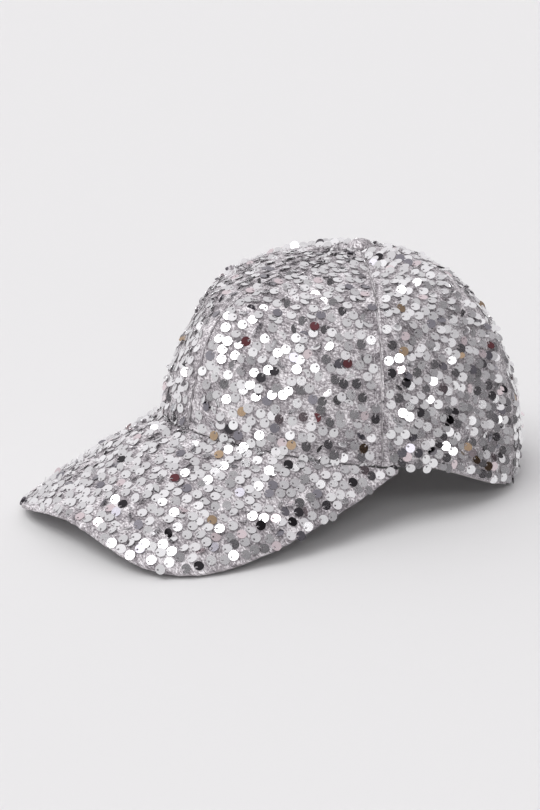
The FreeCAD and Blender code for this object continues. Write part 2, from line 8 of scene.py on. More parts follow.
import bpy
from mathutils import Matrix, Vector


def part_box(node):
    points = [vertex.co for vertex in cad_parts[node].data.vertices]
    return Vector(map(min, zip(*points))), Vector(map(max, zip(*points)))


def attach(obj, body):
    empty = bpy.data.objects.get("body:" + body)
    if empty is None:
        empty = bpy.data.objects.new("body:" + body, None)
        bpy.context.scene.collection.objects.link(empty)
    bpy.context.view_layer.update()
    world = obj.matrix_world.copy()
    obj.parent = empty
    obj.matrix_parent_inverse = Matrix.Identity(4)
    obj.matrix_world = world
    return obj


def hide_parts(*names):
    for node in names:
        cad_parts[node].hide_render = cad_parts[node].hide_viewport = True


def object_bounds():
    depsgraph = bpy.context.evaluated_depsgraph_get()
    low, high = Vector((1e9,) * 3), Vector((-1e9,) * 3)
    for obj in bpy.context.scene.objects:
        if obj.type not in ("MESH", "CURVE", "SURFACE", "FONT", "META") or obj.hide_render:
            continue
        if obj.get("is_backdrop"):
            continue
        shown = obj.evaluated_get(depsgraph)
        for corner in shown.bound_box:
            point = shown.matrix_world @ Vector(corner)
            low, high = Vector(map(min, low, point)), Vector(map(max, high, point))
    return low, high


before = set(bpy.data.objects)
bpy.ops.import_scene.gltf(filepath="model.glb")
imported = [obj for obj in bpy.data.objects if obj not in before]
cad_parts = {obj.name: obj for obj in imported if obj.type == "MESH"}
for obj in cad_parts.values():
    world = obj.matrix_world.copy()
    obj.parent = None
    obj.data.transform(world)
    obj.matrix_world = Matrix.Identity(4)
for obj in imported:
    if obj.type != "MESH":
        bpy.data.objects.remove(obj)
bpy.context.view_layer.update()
print(len(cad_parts), "nodes in the frame")

# %% Modules and units
import math

import bmesh
import bpy
import numpy as np
from mathutils import Matrix, Vector
from mathutils.bvhtree import BVHTree

MM = 0.001
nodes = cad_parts
scene = bpy.context.scene

# %% [markdown]
# ## The cap's own axes
# A cap that is set down tips forwards until its visor touches the table. Its panels are still
# laid out round the button, so every measure below is taken from the button's axis. The flat
# washer under the button says where that axis is and which way it leans.

# %% Axes from the button's washer
washer = nodes["button_washer"].data
flat_faces = [f.normal * f.area for f in washer.polygons if f.normal.z > 0.9]
UP = sum(flat_faces, Vector()).normalized()
RIGHT = Vector((1, 0, 0))
BACK = UP.cross(RIGHT)
washer_low, washer_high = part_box("button_washer")
WASHER = (washer_low + washer_high) / 2
HUB_BELOW = 70 * MM                     # from the washer to the point that all rays aim at
HUB = WASHER - UP * HUB_BELOW
print("the cap leans", round(math.degrees(math.acos(UP.z)), 2), "degrees forwards")


def cap_point(x, y, z):
    """A point given across, backwards and upwards from the hub."""
    return HUB + RIGHT * x + BACK * y + UP * z


# %% [markdown]
# ## Feeling for the frame's surfaces
# To lay cloth over the frame we need its surface at any bearing. A ray is shot from outside
# towards the hub and stops where it meets the panel, like a finger that feels for the surface.
# A bounding volume tree makes thousands of such rays quick.

# %% Rays on the frame
REACH = 0.3
SQUARE_ON = 0.5                         # cosine to a face that a ray from outside must reach
SLANTING = 0.3                          # the same where faces lean further away from the ray


def tree_of(*names):
    """One search tree over several nodes of the frame."""
    points, faces = [], []
    for name in names:
        mesh = nodes[name].data
        start = len(points)
        points += [v.co.copy() for v in mesh.vertices]
        faces += [[start + i for i in f.vertices] for f in mesh.polygons]
    return BVHTree.FromPolygons(points, faces)


def bearing(azimuth, elevation=0.0):
    """A direction from the hub: azimuth 0 is the cap's front and a quarter turn its left."""
    level = RIGHT * math.sin(azimuth) - BACK * math.cos(azimuth)
    return level * math.cos(elevation) + UP * math.sin(elevation)


def felt(tree, azimuth, elevation):
    """Where the outer skin is at a bearing, or None past its edge."""
    way = bearing(azimuth, elevation)
    point, normal, _, _ = tree.ray_cast(HUB + way * REACH, -way, REACH)
    return point if point is not None and normal.dot(way) > SQUARE_ON else None


def edge_between(found, good, bad, steps=18):
    """Closes in on the value where found() turns from true to false."""
    for _ in range(steps):
        middle = (good + bad) / 2
        if found(middle):
            good = middle
        else:
            bad = middle
    return good


def azimuth_of(point):
    """The bearing of a point about the button's axis."""
    offset = point - HUB
    return math.atan2(offset.dot(RIGHT), -offset.dot(BACK))


def off_axis(point):
    """Distance from the button's axis."""
    offset = point - HUB
    return math.hypot(offset.dot(RIGHT), offset.dot(BACK))


print("the washer is", round(off_axis(WASHER) / MM, 3), "mm off the axis")


# %% [markdown]
# ## Materials: one helper and true colours
# Every finish is a small graph of shader nodes. A single helper adds a node, sets it up and
# links it, so that each material reads as a recipe. Colours are written as the hex values a
# designer would use and turned to the linear values that light is computed in.

# %% Node helper and colours
def linear(hex_colour):
    """An sRGB hex colour as linear RGBA."""
    parts = [int(hex_colour[i:i + 2], 16) / 255 for i in (1, 3, 5)]
    return [p / 12.92 if p <= 0.04045 else ((p + 0.055) / 1.055) ** 2.4 for p in parts] + [1.0]


def add(tree, kind, inputs=None, stops=(), **settings):
    """Adds one node, sets its properties and colour stops, and fills or links its inputs."""
    made = tree.nodes.new(kind)
    for key, value in settings.items():
        setattr(made, key, value)
    for place, (position, colour) in enumerate(stops):
        if place >= len(made.color_ramp.elements):
            made.color_ramp.elements.new(position)
        made.color_ramp.elements[place].position = position
        made.color_ramp.elements[place].color = linear(colour)
    for key, value in (inputs or {}).items():
        socket = made.inputs[key]
        if isinstance(value, bpy.types.NodeSocket):
            tree.links.new(value, socket)
        else:
            socket.default_value = value
    return made


def finish(name, **sockets):
    """A new material and its shader, with plain values on the shader's own sockets."""
    material = bpy.data.materials.new(name)
    material.use_nodes = True
    shader = material.node_tree.nodes["Principled BSDF"]
    for key, value in sockets.items():
        shader.inputs[key.replace("_", " ")].default_value = value
    return material, material.node_tree, shader


print("mid grey is", round(linear("#808080")[0], 3), "in linear light")


# %% [markdown]
# ## Crushed velvet
# Velvet is a short pile on a knitted back. Crushing lays the pile in streaks that point
# different ways, so it shines in patches, and a sheen lifts its edges. Noise that is
# stretched along the cloth gives the streaks, and finer noise the single tufts.

# %% Crushed polyester velvet
STREAK = 4.0                            # streaks are this much longer than they are wide


def velvet_finish(name, dark, middle, light):
    """Velvet: soft and matt, with lustrous streaks and a pale sheen where it turns away."""
    material, tree, shader = finish(name, Roughness=0.8, Sheen_Weight=0.3, Sheen_Roughness=0.3)
    cloth = add(tree, "ShaderNodeUVMap", uv_map="cloth")
    along = add(tree, "ShaderNodeMapping", {"Vector": cloth.outputs[0], "Scale": (1, STREAK, 1)})
    streaks = add(tree, "ShaderNodeTexNoise", {"Vector": along.outputs[0], "Scale": 320.0,
                                               "Detail": 5.0, "Roughness": 0.75})
    patches = add(tree, "ShaderNodeTexNoise", {"Vector": cloth.outputs[0], "Scale": 110.0,
                                               "Detail": 3.0, "Distortion": 0.8})
    pile = add(tree, "ShaderNodeTexNoise", {"Vector": cloth.outputs[0], "Scale": 900.0,
                                            "Detail": 3.0, "Roughness": 0.7})
    mixed = add(tree, "ShaderNodeMath", {0: streaks.outputs["Fac"], 1: patches.outputs["Fac"]},
                operation="ADD")
    grainy = add(tree, "ShaderNodeMath", {0: pile.outputs["Fac"], 1: 1.6, 2: mixed.outputs[0]},
                 operation="MULTIPLY_ADD")
    share = add(tree, "ShaderNodeMath", {0: grainy.outputs[0], 1: 3.6}, operation="DIVIDE")
    tone = add(tree, "ShaderNodeValToRGB", {"Fac": share.outputs[0]},
               stops=[(0.41, dark), (0.5, middle), (0.57, light)])
    tree.links.new(tone.outputs["Color"], shader.inputs["Base Color"])
    coarse = add(tree, "ShaderNodeBump", {"Height": streaks.outputs["Fac"], "Strength": 0.6,
                                          "Distance": 0.6 * MM})
    fine = add(tree, "ShaderNodeBump", {"Height": pile.outputs["Fac"], "Strength": 0.5,
                                        "Distance": 0.25 * MM, "Normal": coarse.outputs[0]})
    tree.links.new(fine.outputs[0], shader.inputs["Normal"])
    return material


velvet = velvet_finish("crushed_polyester_velvet", "#5f5a5e", "#aaa4a8", "#f4f1f3")
print(velvet.name, "has", len(velvet.node_tree.nodes), "nodes")

# %% [markdown]
# ## Silvered film
# A sequin is punched from polyester film with a vapour of aluminium on it: a thin, hard,
# slightly greyed mirror. Each one keeps its own number, stored when it was sewn on. The number
# picks its tone: most are neutral silver, and a few are rosy, grey, nearly black, tan or
# wine red. The nearly black and grey tones are painted reflections of dark surroundings, and the
# rosy, tan and wine-red ones are partly a tint of the film and partly painted reflections of
# coloured surroundings.

# %% Silvered polyester film
def film_finish():
    """Sequin film: a bright mirror that is blurred just enough to look like plastic."""
    material, tree, shader = finish("silvered_polyester_film", Metallic=1.0, Roughness=0.16)
    own = add(tree, "ShaderNodeAttribute", attribute_name="tint")
    # the ramp paints reflections into the film's colour: nearly black and grey for dark surroundings,
    # and rosy, tan and wine red partly for coloured surroundings, partly as the film's own tint
    tone = add(tree, "ShaderNodeValToRGB", {"Fac": own.outputs["Fac"]}, stops=[
        (0.0, "#6b4246"), (0.006, "#b39c82"), (0.018, "#3a383b"), (0.038, "#85838a"),
        (0.09, "#e0d3d6"), (0.13, "#dededf"), (0.6, "#f0f0f1"),
    ])
    tone.color_ramp.interpolation = "CONSTANT"
    tree.links.new(tone.outputs["Color"], shader.inputs["Base Color"])
    place = add(tree, "ShaderNodeTexCoord")
    wear = add(tree, "ShaderNodeTexNoise", {"Vector": place.outputs["Object"], "Scale": 420.0,
                                            "Detail": 2.0})
    bump = add(tree, "ShaderNodeBump", {"Height": wear.outputs["Fac"], "Strength": 0.05,
                                        "Distance": 0.25 * MM})
    tree.links.new(bump.outputs[0], shader.inputs["Normal"])
    return material


film = film_finish()
print(film.name, "has", len(film.node_tree.nodes), "nodes")

# %% [markdown]
# ## Other finishes
# The hidden side of a cap has its own cloths. Each has its weave drawn from its real thread
# spacing: a diagonal rib for twill, a plain grid for tape, an open grid for buckram.

# %% Woven cloths
def woven_finish(name, dark, light, spacing, slant, roughness, sheen=0.15):
    """A woven cloth: two crossing sets of threads, `spacing` metres apart."""
    material, tree, shader = finish(name, Roughness=roughness, Sheen_Weight=sheen)
    cloth = add(tree, "ShaderNodeUVMap", uv_map="cloth")
    turned = add(tree, "ShaderNodeMapping", {"Vector": cloth.outputs[0],
                                             "Rotation": (0, 0, math.radians(slant))})
    threads = []
    for direction in ("X", "Y"):
        wave = add(tree, "ShaderNodeTexWave", {"Vector": turned.outputs[0],
                                               "Scale": 0.314 / spacing, "Distortion": 0.6,
                                               "Detail": 1.0}, bands_direction=direction)
        threads.append(wave.outputs["Fac"])
    weave = add(tree, "ShaderNodeMath", {0: threads[0], 1: threads[1]}, operation="MULTIPLY")
    cloudy = add(tree, "ShaderNodeTexNoise", {"Vector": cloth.outputs[0], "Scale": 60.0,
                                              "Detail": 3.0})
    mixed = add(tree, "ShaderNodeMath", {0: weave.outputs[0], 1: cloudy.outputs["Fac"]},
                operation="ADD")
    tone = add(tree, "ShaderNodeValToRGB", {"Fac": mixed.outputs[0]},
               stops=[(0.35, dark), (1.0, light)])
    tree.links.new(tone.outputs["Color"], shader.inputs["Base Color"])
    bump = add(tree, "ShaderNodeBump", {"Height": weave.outputs[0], "Strength": 0.6,
                                        "Distance": spacing * 0.4})
    tree.links.new(bump.outputs[0], shader.inputs["Normal"])
    return material


twill = woven_finish("cotton_twill", "#a9a4a6", "#d3cfd0", 0.7 * MM, 45, 0.8)
tape = woven_finish("plain_woven_cotton_tape", "#b4b0b0", "#dcd9d8", 0.6 * MM, 0, 0.85)
buckram = woven_finish("starched_open_weave_buckram", "#9c9a96", "#efece6", 1.1 * MM, 0, 0.9)
lining = woven_finish("polyester_satin_lining", "#a9a5a8", "#cfccce", 0.45 * MM, 8, 0.38, 0.3)
label = woven_finish("white_woven_satin", "#dedcda", "#f4f3f1", 0.35 * MM, 0, 0.45)
print("woven cloths:", [cloth.name for cloth in (twill, tape, buckram, lining, label)])


# %% [markdown]
# The button's cap and the buckle are metal. Plated metal is smooth, but handling leaves faint
# smears that show only in its reflections, so noise moves its roughness a little.

# %% Plated metals and board
def plated_finish(name, colour, roughness):
    """Plated metal: a clear mirror with faint smears and tiny dents."""
    material, tree, shader = finish(name, Metallic=1.0, Base_Color=linear(colour))
    place = add(tree, "ShaderNodeTexCoord")
    smears = add(tree, "ShaderNodeTexNoise", {"Vector": place.outputs["Object"], "Scale": 160.0,
                                              "Detail": 5.0})
    spread = add(tree, "ShaderNodeMapRange", {"Value": smears.outputs["Fac"], "To Min": roughness,
                                              "To Max": roughness + 0.14})
    tree.links.new(spread.outputs[0], shader.inputs["Roughness"])
    dents = add(tree, "ShaderNodeBump", {"Height": smears.outputs["Fac"], "Strength": 0.08,
                                         "Distance": 0.2 * MM})
    tree.links.new(dents.outputs[0], shader.inputs["Normal"])
    return material


chrome = plated_finish("polished_chrome_plate", "#e3e4e6", 0.06)
tinned = plated_finish("tinned_steel", "#b9bbbb", 0.28)


def moulded_finish(name, colour, roughness):
    """Moulded plastic sheet: even colour, a faint grain."""
    material, tree, shader = finish(name, Base_Color=linear(colour), Roughness=roughness)
    place = add(tree, "ShaderNodeTexCoord")
    grain = add(tree, "ShaderNodeTexNoise", {"Vector": place.outputs["Object"], "Scale": 900.0})
    bump = add(tree, "ShaderNodeBump", {"Height": grain.outputs["Fac"], "Strength": 0.15,
                                        "Distance": 0.1 * MM})
    tree.links.new(bump.outputs[0], shader.inputs["Normal"])
    return material


board = moulded_finish("polyethylene_sheet", "#e9e8e2", 0.5)
print("metals and board:", chrome.name, tinned.name, board.name)


# %% [markdown]
# Sewing thread is twisted from shiny filaments. Slanting bands of a wave stand for the twist.

# %% Twisted polyester thread
def thread_finish():
    """Sewing thread: pale, with a silky shine."""
    material, tree, shader = finish("twisted_polyester_thread", Roughness=0.3, Sheen_Weight=0.2,
                                    Base_Color=linear("#dad6d9"))
    place = add(tree, "ShaderNodeTexCoord")
    twist = add(tree, "ShaderNodeTexWave", {"Vector": place.outputs["Object"], "Scale": 700.0},
                bands_direction="DIAGONAL")
    bump = add(tree, "ShaderNodeBump", {"Height": twist.outputs["Fac"], "Strength": 0.5,
                                        "Distance": 0.08 * MM})
    tree.links.new(bump.outputs[0], shader.inputs["Normal"])
    return material


thread = thread_finish()
print(thread.name, "has", len(thread.node_tree.nodes), "nodes")

# %% [markdown]
# ## Cloth as closed sheets
# A piece of cloth has two faces and a thin edge. We build it from two matching grids of points,
# the outer face and the inner face, and close their rims with a strip of quads. Every point
# also gets its place on the flat, unrolled cloth, kept as a UV map called "cloth" and counted
# in real metres. Patterns and sequins follow that map.

# %% Grids to meshes
def cloth_mesh(name, outer, flat, inner=None):
    """A mesh from an outer grid, and an inner one if the sheet is closed."""
    rows, columns = outer.shape[:2]
    grid = np.arange(rows * columns).reshape(rows, columns)
    a, b, c, d = grid[:-1, :-1], grid[:-1, 1:], grid[1:, 1:], grid[1:, :-1]
    quads = np.stack([a, b, c, d], -1).reshape(-1, 4)
    points, places = outer.reshape(-1, 3), flat.reshape(-1, 2)
    if inner is not None:
        count = rows * columns
        rim = np.concatenate([grid[0, :-1], grid[:-1, -1], grid[-1, :0:-1], grid[:0:-1, 0]])
        after = np.roll(rim, -1)
        sides = np.stack([after, rim, rim + count, after + count], -1)
        quads = np.concatenate([quads, quads[:, ::-1] + count, sides])
        points = np.concatenate([points, inner.reshape(-1, 3)])
        places = np.concatenate([places, places])
    mesh = bpy.data.meshes.new(name)
    mesh.from_pydata(points.tolist(), [], quads.tolist())
    layer = mesh.uv_layers.new(name="cloth")
    corners = np.zeros(len(mesh.loops), dtype=np.int64)
    mesh.loops.foreach_get("vertex_index", corners)
    layer.data.foreach_set("uv", places[corners].astype(np.float32).ravel())
    mesh.shade_smooth()
    return mesh


def facing_out(outer):
    """True if the grid's own order already turns its faces away from the hub."""
    middle = outer.shape[0] // 2, outer.shape[1] // 2
    across = outer[middle[0], middle[1] + 1] - outer[middle]
    along = outer[middle[0] + 1, middle[1]] - outer[middle]
    return np.dot(np.cross(across, along), outer[middle] - np.array(HUB)) > 0


def normals_of(grid):
    """Unit normals of a grid, pointing away from the hub."""
    across, along = np.gradient(grid, axis=1), np.gradient(grid, axis=0)
    normal = np.cross(across, along)
    normal /= np.linalg.norm(normal, axis=2, keepdims=True) + 1e-12
    outward = np.sum(normal * (grid - np.array(HUB)), axis=2, keepdims=True)
    return normal * np.where(np.median(outward) > 0, 1, -1)


def across_and_back(points):
    """How far an array of points lies to the side of and behind the button's axis."""
    offset = points - np.array(HUB)
    return offset @ np.array(RIGHT), offset @ np.array(BACK)


def piece(name, mesh, material, body="cap", replaced=()):
    """An object at the origin that rides on a body and stands for nodes of the frame."""
    made = bpy.data.objects.new(name, mesh)
    scene.collection.objects.link(made)
    mesh.materials.clear()
    mesh.materials.append(material)
    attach(made, body)
    if replaced:
        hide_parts(*replaced)
    print(name, len(mesh.polygons), "faces")
    return made


print("hub at", [round(v, 4) for v in HUB])


# %% [markdown]
# ## The six crown panels
# Each panel is sampled in columns that rise from the crown's edge to the button. Every column
# is divided by its real length, so the squares stay even, and the rows are closer together at
# the edge, where the cloth is turned in and needs a round fold.

# %% Sampling one panel
COLUMN_STEP = 1.3 * MM
ROW_STEP = 1.3 * MM
FOLD = [0.0, 0.25 * MM, 0.6 * MM]       # close rows at a folded edge
UNDER_BUTTON = 3.9 * MM                 # the panels end here, hidden by the button
ON_PANEL, BELOW_PANEL = math.radians(30), math.radians(-40)
UP_THE_PANEL, AT_THE_BUTTON = math.radians(60), math.radians(89.5)
COLUMN_SAMPLES = 110
CLEAR_OF_AXIS = 30 * MM                 # nearer to the axis a bearing says little
PROBES = (12, 30, 50, 70)               # degrees up at which a panel's sides are felt
CROWN_RADIUS = 85 * MM                  # usual distance from the axis to the panels
FROM_SEAM = 1e-4                        # radians that the first and last columns stand inside
STEP_IN_EDGE = 4 * MM                   # neighbours that differ by more straddle the opening
BESIDE = 1.5e-4                         # radians between the two columns at the opening's side


def spaced(length, step, fold=FOLD):
    """Places along a length: close together at its two ends and even between them."""
    count = max(int(length / step), 4)
    even = np.linspace(0, length, count + 1)[1:-1]
    even = even[(even > fold[-1] * 1.5) & (even < length - fold[-1] * 1.5)]
    return np.concatenate([fold, even, length - np.array(fold)[::-1]])


def column_of(tree, azimuth):
    """Points of the outer skin from the lower edge to the button, evenly sampled."""
    low = edge_between(lambda e: felt(tree, azimuth, e), ON_PANEL, BELOW_PANEL)
    reach = edge_between(lambda e: felt(tree, azimuth, e) is not None
                         and off_axis(felt(tree, azimuth, e)) > UNDER_BUTTON,
                         UP_THE_PANEL, AT_THE_BUTTON)
    found = [felt(tree, azimuth, e) for e in np.linspace(low, reach, COLUMN_SAMPLES)]
    return np.array([p for p in found if p is not None])


def along(points):
    """Distance along a line of points."""
    steps = np.linalg.norm(np.diff(points, axis=0), axis=1)
    return np.concatenate([[0], np.cumsum(steps)])


def resampled(points, shares):
    """The line of points at the given shares of its length."""
    length = along(points)
    wanted = shares * length[-1]
    return np.stack([np.interp(wanted, length, points[:, i]) for i in range(3)], -1)


def panel_skin(name):
    """The smooth outer skin of one panel, its flat map and its distances to the seams."""
    tree = tree_of(name)
    turns = [azimuth_of(v.co) for v in nodes[name].data.vertices
             if off_axis(v.co) > CLEAR_OF_AXIS]
    centre = (min(turns) + max(turns)) / 2
    ends = [[edge_between(lambda a, e=e: felt(tree, a, math.radians(e)), centre, centre + turn)
             for e in PROBES] for turn in (-1, 1)]
    first, last = max(ends[0]) + FROM_SEAM, min(ends[1]) - FROM_SEAM
    width = (last - first) * CROWN_RADIUS
    azimuths = first + spaced(width, COLUMN_STEP) / width * (last - first)
    columns = [column_of(tree, a) for a in azimuths]
    jumps = np.abs(np.diff([along(c)[-1] for c in columns]))
    if jumps.max() > STEP_IN_EDGE:      # the opening's upright side lies between two columns
        k = int(jumps.argmax())
        tall = along(columns[k])[-1] > along(columns[k + 1])[-1]
        limit = (along(columns[k])[-1] + along(columns[k + 1])[-1]) / 2
        side = edge_between(lambda a: (along(column_of(tree, a))[-1] > limit) == tall,
                            azimuths[k], azimuths[k + 1], 12)
        azimuths = np.insert(azimuths, k + 1, [side, side + BESIDE])
        columns[k + 1:k + 1] = [column_of(tree, side), column_of(tree, side + BESIDE)]
    longest = max(along(c)[-1] for c in columns)
    shares = spaced(longest, ROW_STEP) / longest
    skin = np.stack([resampled(c, shares) for c in columns], 1)
    lengths = np.array([along(c)[-1] for c in columns])
    radius = np.hypot(*across_and_back(skin))
    middle = (first + last) / 2
    up = (shares[:, None] - 1) * lengths[None, :]
    flat = np.stack([(azimuths - middle)[None, :] * radius, up], -1)
    seams = [(azimuths - first)[None, :] * radius, (last - azimuths)[None, :] * radius]
    return skin, flat, seams, shares[:, None] * lengths[None, :]


# %% [markdown]
# ## Seams, folds and crushed pile
# Where two panels meet, the stitching pulls the cloth down into a narrow valley and gathers it
# into small puckers. The pile itself is uneven, so the surface between the seams is never
# quite smooth. All three are small moves along the surface's normal.

# %% Relief on the cloth
VELVET_THICK = 1.2 * MM
VALLEY = 0.55 * MM                      # depth of the valley at a seam
VALLEY_WIDTH = 1.1 * MM
PUCKER = 0.22 * MM
PUCKER_GAP = 6.5 * MM
PUCKER_REACH = 5 * MM                   # the puckers fade over this distance from a seam
EDGE_DROP = 0.55 * MM                   # the cloth rolls down by this much at its lower fold
EDGE_ROUND = 0.45 * MM
UNEVEN = ((0.16 * MM, 9 * MM, 0), (0.09 * MM, 3.5 * MM, 50))    # height, size, added to the seed


def wavy(flat, size, seed):
    """Smooth unevenness between -1 and 1 with features of the given size."""
    phases = np.random.default_rng(seed).uniform(0, 2 * np.pi, (7, 3))
    total = np.zeros(flat.shape[:2])
    for turn, shift, scale in phases:
        way = flat[..., 0] * np.cos(turn) + flat[..., 1] * np.sin(turn)
        total += np.sin(way / size * (0.7 + scale / 6) * 2 * np.pi + shift)
    return total / 4


def relief(flat, seams, foot, seed):
    """Height of the cloth over the frame's smooth skin."""
    near = np.minimum(*seams)
    height = -VALLEY * np.exp(-(near / VALLEY_WIDTH) ** 2)
    gather = np.sin(flat[..., 1] / PUCKER_GAP * 2 * np.pi + seed)
    height += PUCKER * gather * np.exp(-near / PUCKER_REACH)
    for tall, size, later in UNEVEN:
        height += tall * wavy(flat, size, seed + later)
    height -= EDGE_DROP * np.exp(-(foot / EDGE_ROUND) ** 2)
    return height


print("seam valleys", VALLEY / MM, "mm deep, puckers every", PUCKER_GAP / MM, "mm")


# %% The panels
SEAM_STRIP = 2.6 * MM                   # no sequin is sewn nearer to a seam
guides = {}
seam_rows = []
PANELS = [f"crown_panel_{part}_{hand}" for hand in ("left", "right")
          for part in ("front", "side", "back")]
for seed, name in enumerate(PANELS):
    skin, flat, seams, foot = panel_skin(name)
    out = normals_of(skin)
    outer = skin + out * relief(flat, seams, foot, seed)[..., None]
    inner = skin - out * VELVET_THICK
    seam_rows.append((outer, out, seams, foot))
    free = np.minimum(*seams).max(0) > SEAM_STRIP
    guides[name] = (outer[:, free], flat[:, free])
    if not facing_out(outer):
        outer, inner, flat = outer[:, ::-1], inner[:, ::-1], flat[:, ::-1]
        guides[name] = tuple(part[:, ::-1] for part in guides[name])
    mesh = cloth_mesh(name + "_cloth", outer, flat, inner)
    piece(name.replace("crown_panel", "velvet_panel"), mesh, velvet,
          replaced=[name])

# %% [markdown]
# ## The visor's cover
# The visor is a stiff sheet bent round the forehead. Its cover is one cloth that lies on top
# and wraps round the front edge, where the lining is sewn to it. Rays straight down find the
# top, and rays straight up the underside, in lines that fan out from the crown's middle.

# %% Sampling the visor
FAN_LINES = 161
ARCH = 94.4 * MM                        # radius that the visor is bent to
SEARCH_FROM, SEARCH_TO = 60 * MM, 200 * MM    # distances between which the visor is looked for
SEARCH_SPOTS = 281
LINE_SPOTS = 60
INSIDE_FAN = 6e-3                       # radians that the fan stays inside both covers


def dropped(tree, azimuth, radius, side=1):
    """The skin above (side 1) or below (side -1) a spot in the fan, or None."""
    spot = HUB + bearing(azimuth) * radius
    point, normal, _, _ = tree.ray_cast(spot + UP * side * REACH, -UP * side, 2 * REACH)
    return point if point is not None and normal.dot(UP) * side > SLANTING else None


def visor_lines(name, side, turns):
    """Lines of points from the crown to the visor's edge, one for each bearing."""
    tree, lines = tree_of(name), []
    for turn in turns:
        radii = np.linspace(SEARCH_FROM, SEARCH_TO, SEARCH_SPOTS)
        inside = [r for r in radii if dropped(tree, turn, r, side)]
        near = edge_between(lambda r: dropped(tree, turn, r, side), inside[0], inside[0] - MM)
        far = edge_between(lambda r: dropped(tree, turn, r, side), inside[-1], inside[-1] + MM)
        spots = [dropped(tree, turn, r, side) for r in np.linspace(near, far, LINE_SPOTS)]
        lines.append(np.array([p for p in spots if p is not None]))
    return lines


widest = min(max(abs(azimuth_of(v.co)) for v in nodes[n].data.vertices)
             for n in ("visor_top_cover", "visor_under_cover")) - INSIDE_FAN
fan = np.linspace(-widest, widest, FAN_LINES)
top_lines = visor_lines("visor_top_cover", 1, fan)
under_lines = visor_lines("visor_under_cover", -1, fan)
print("visor fan to", round(math.degrees(widest), 1), "degrees each side")


def visor_flat(points):
    """Places on the unrolled visor: across along its arch, and forwards."""
    across, back = across_and_back(points)
    return np.stack([ARCH * np.arcsin(np.clip(across / ARCH, -1, 1)), back], -1)


def looking(way, out):
    """The normals, all of them flipped if they look away from `way`."""
    return out if np.dot(out[5, FAN_LINES // 2], np.array(way)) > 0 else -out


# %% Top cover with its rolled edge
VISOR_ROWS = 52
ROLL_BULGE = 0.9 * MM                   # the edge stands this far past the frame's
ROLL = np.radians([18, 42, 66, 90, 114, 138, 162, 180])
TURNED_IN = 2.4 * MM                    # the cover ends this far in on the underside
COVER_THICK = 0.8 * MM
EDGE_PUCKER = PUCKER * 0.8
EDGE_PUCKER_REACH = 4 * MM


def cover_line(top, under):
    """One line of the cover: over the top, round the edge and a little way back below."""
    upper = resampled(top, np.linspace(0, 1, VISOR_ROWS))
    lower = resampled(under, 1 - np.array([0.5, 1.0]) * TURNED_IN / along(under)[-1])
    tip, heel = upper[-1], under[-1]
    middle, half = (tip + heel) / 2, (tip - heel) / 2
    ahead = (tip - upper[-3]) / np.linalg.norm(tip - upper[-3])
    rolled = [middle + half * math.cos(a) + ahead * ROLL_BULGE * math.sin(a) for a in ROLL]
    return np.concatenate([upper, rolled, lower])


cover = np.stack([cover_line(t, u) for t, u in zip(top_lines, under_lines)], 1)
cover_flat = visor_flat(cover)
edge = VISOR_ROWS - 1
past = along(cover[edge:, FAN_LINES // 2])
cover_flat[edge:] = cover_flat[edge] - np.stack([past * 0, past], -1)[:, None]
cover_out = looking(UP, normals_of(cover))
lift = 0.22 * MM * wavy(cover_flat, 11 * MM, 21) + 0.1 * MM * wavy(cover_flat, 4 * MM, 22)
to_edge = np.abs(cover_flat[edge][None, :, 1] - cover_flat[..., 1])
gather = np.sin(cover_flat[..., 0] / PUCKER_GAP * 2 * np.pi)
lift += EDGE_PUCKER * gather * np.exp(-to_edge / EDGE_PUCKER_REACH)
cover = cover + cover_out * lift[..., None]
cover_in = cover - cover_out * COVER_THICK


def outward_grid(outer, inner, flat, out):
    """The same grids, turned so that their faces look along `out`."""
    across = outer[3, 4] - outer[3, 3]
    upwards = outer[4, 3] - outer[3, 3]
    if np.dot(np.cross(across, upwards), out[3, 3]) < 0:
        return outer[:, ::-1], inner[:, ::-1], flat[:, ::-1]
    return outer, inner, flat


cover, cover_in, cover_flat = outward_grid(cover, cover_in, cover_flat, cover_out)
guides["visor"] = (cover[:edge + 4], cover_flat[:edge + 4])
piece("velvet_visor", cloth_mesh("visor_cloth", cover, cover_flat, cover_in), velvet,
      replaced=["visor_top_cover", "visor_seam_allowance"])

# %% [markdown]
# ## The visor's lining
# Below, the visor has a smooth satin lining. Rows of stitches, one every 8 mm, hold board and
# lining together, and each row draws the lining in a little, like the channels of a quilt.

# %% Lining with stitched channels
CHANNEL = 8.0 * MM                      # from one row of stitches to the next
LINING_THICK = 0.6 * MM
LINING_SHORT = 2.0 * MM                 # the lining ends this far inside the visor's edge
LINING_OUT = 0.15 * MM
DRAWN_IN = 0.22 * MM                    # how deep a row of stitches sinks
rows = np.linspace(0, 1, 61)
lining_rows = []
for line in under_lines:
    trimmed = rows * (1 - LINING_SHORT / along(line)[-1])
    lining_rows.append(resampled(line, trimmed))
under = np.stack(lining_rows, 1)
under_flat = visor_flat(under)
under_out = looking(-UP, normals_of(under))
from_edge = np.stack([along(under[:, j])[-1] - along(under[:, j]) for j in range(FAN_LINES)], 1)
channel = np.cos((from_edge + LINING_SHORT) / CHANNEL * 2 * np.pi)
under_lift = LINING_OUT - DRAWN_IN * np.clip(channel, 0, 1) ** 4
fan_face = under + under_out * under_lift[..., None]
fan_back = under - under_out * LINING_THICK
under_face, under_back, under_flat = outward_grid(fan_face, fan_back, under_flat, under_out)
piece("satin_visor_lining", cloth_mesh("visor_lining", under_face, under_flat, under_back),
      lining, replaced=["visor_under_cover"])

# %% [markdown]
# ## One sequin
# A flat sequin is a disc with a small hole near its rim. Here the hole is at the origin,
# because that is where the thread holds it, and the disc hangs from it along -Y. It is used
# thousands of times, so it has only a few dozen faces.

# %% The sequin and its stitch
SEQUIN_RADIUS = 2.25 * MM
HOLE_RADIUS = 0.5 * MM
HOLE_INSET = 0.55 * MM                  # film between the hole and the rim
FILM_THICK = 0.1 * MM
HANG = SEQUIN_RADIUS - HOLE_INSET - HOLE_RADIUS


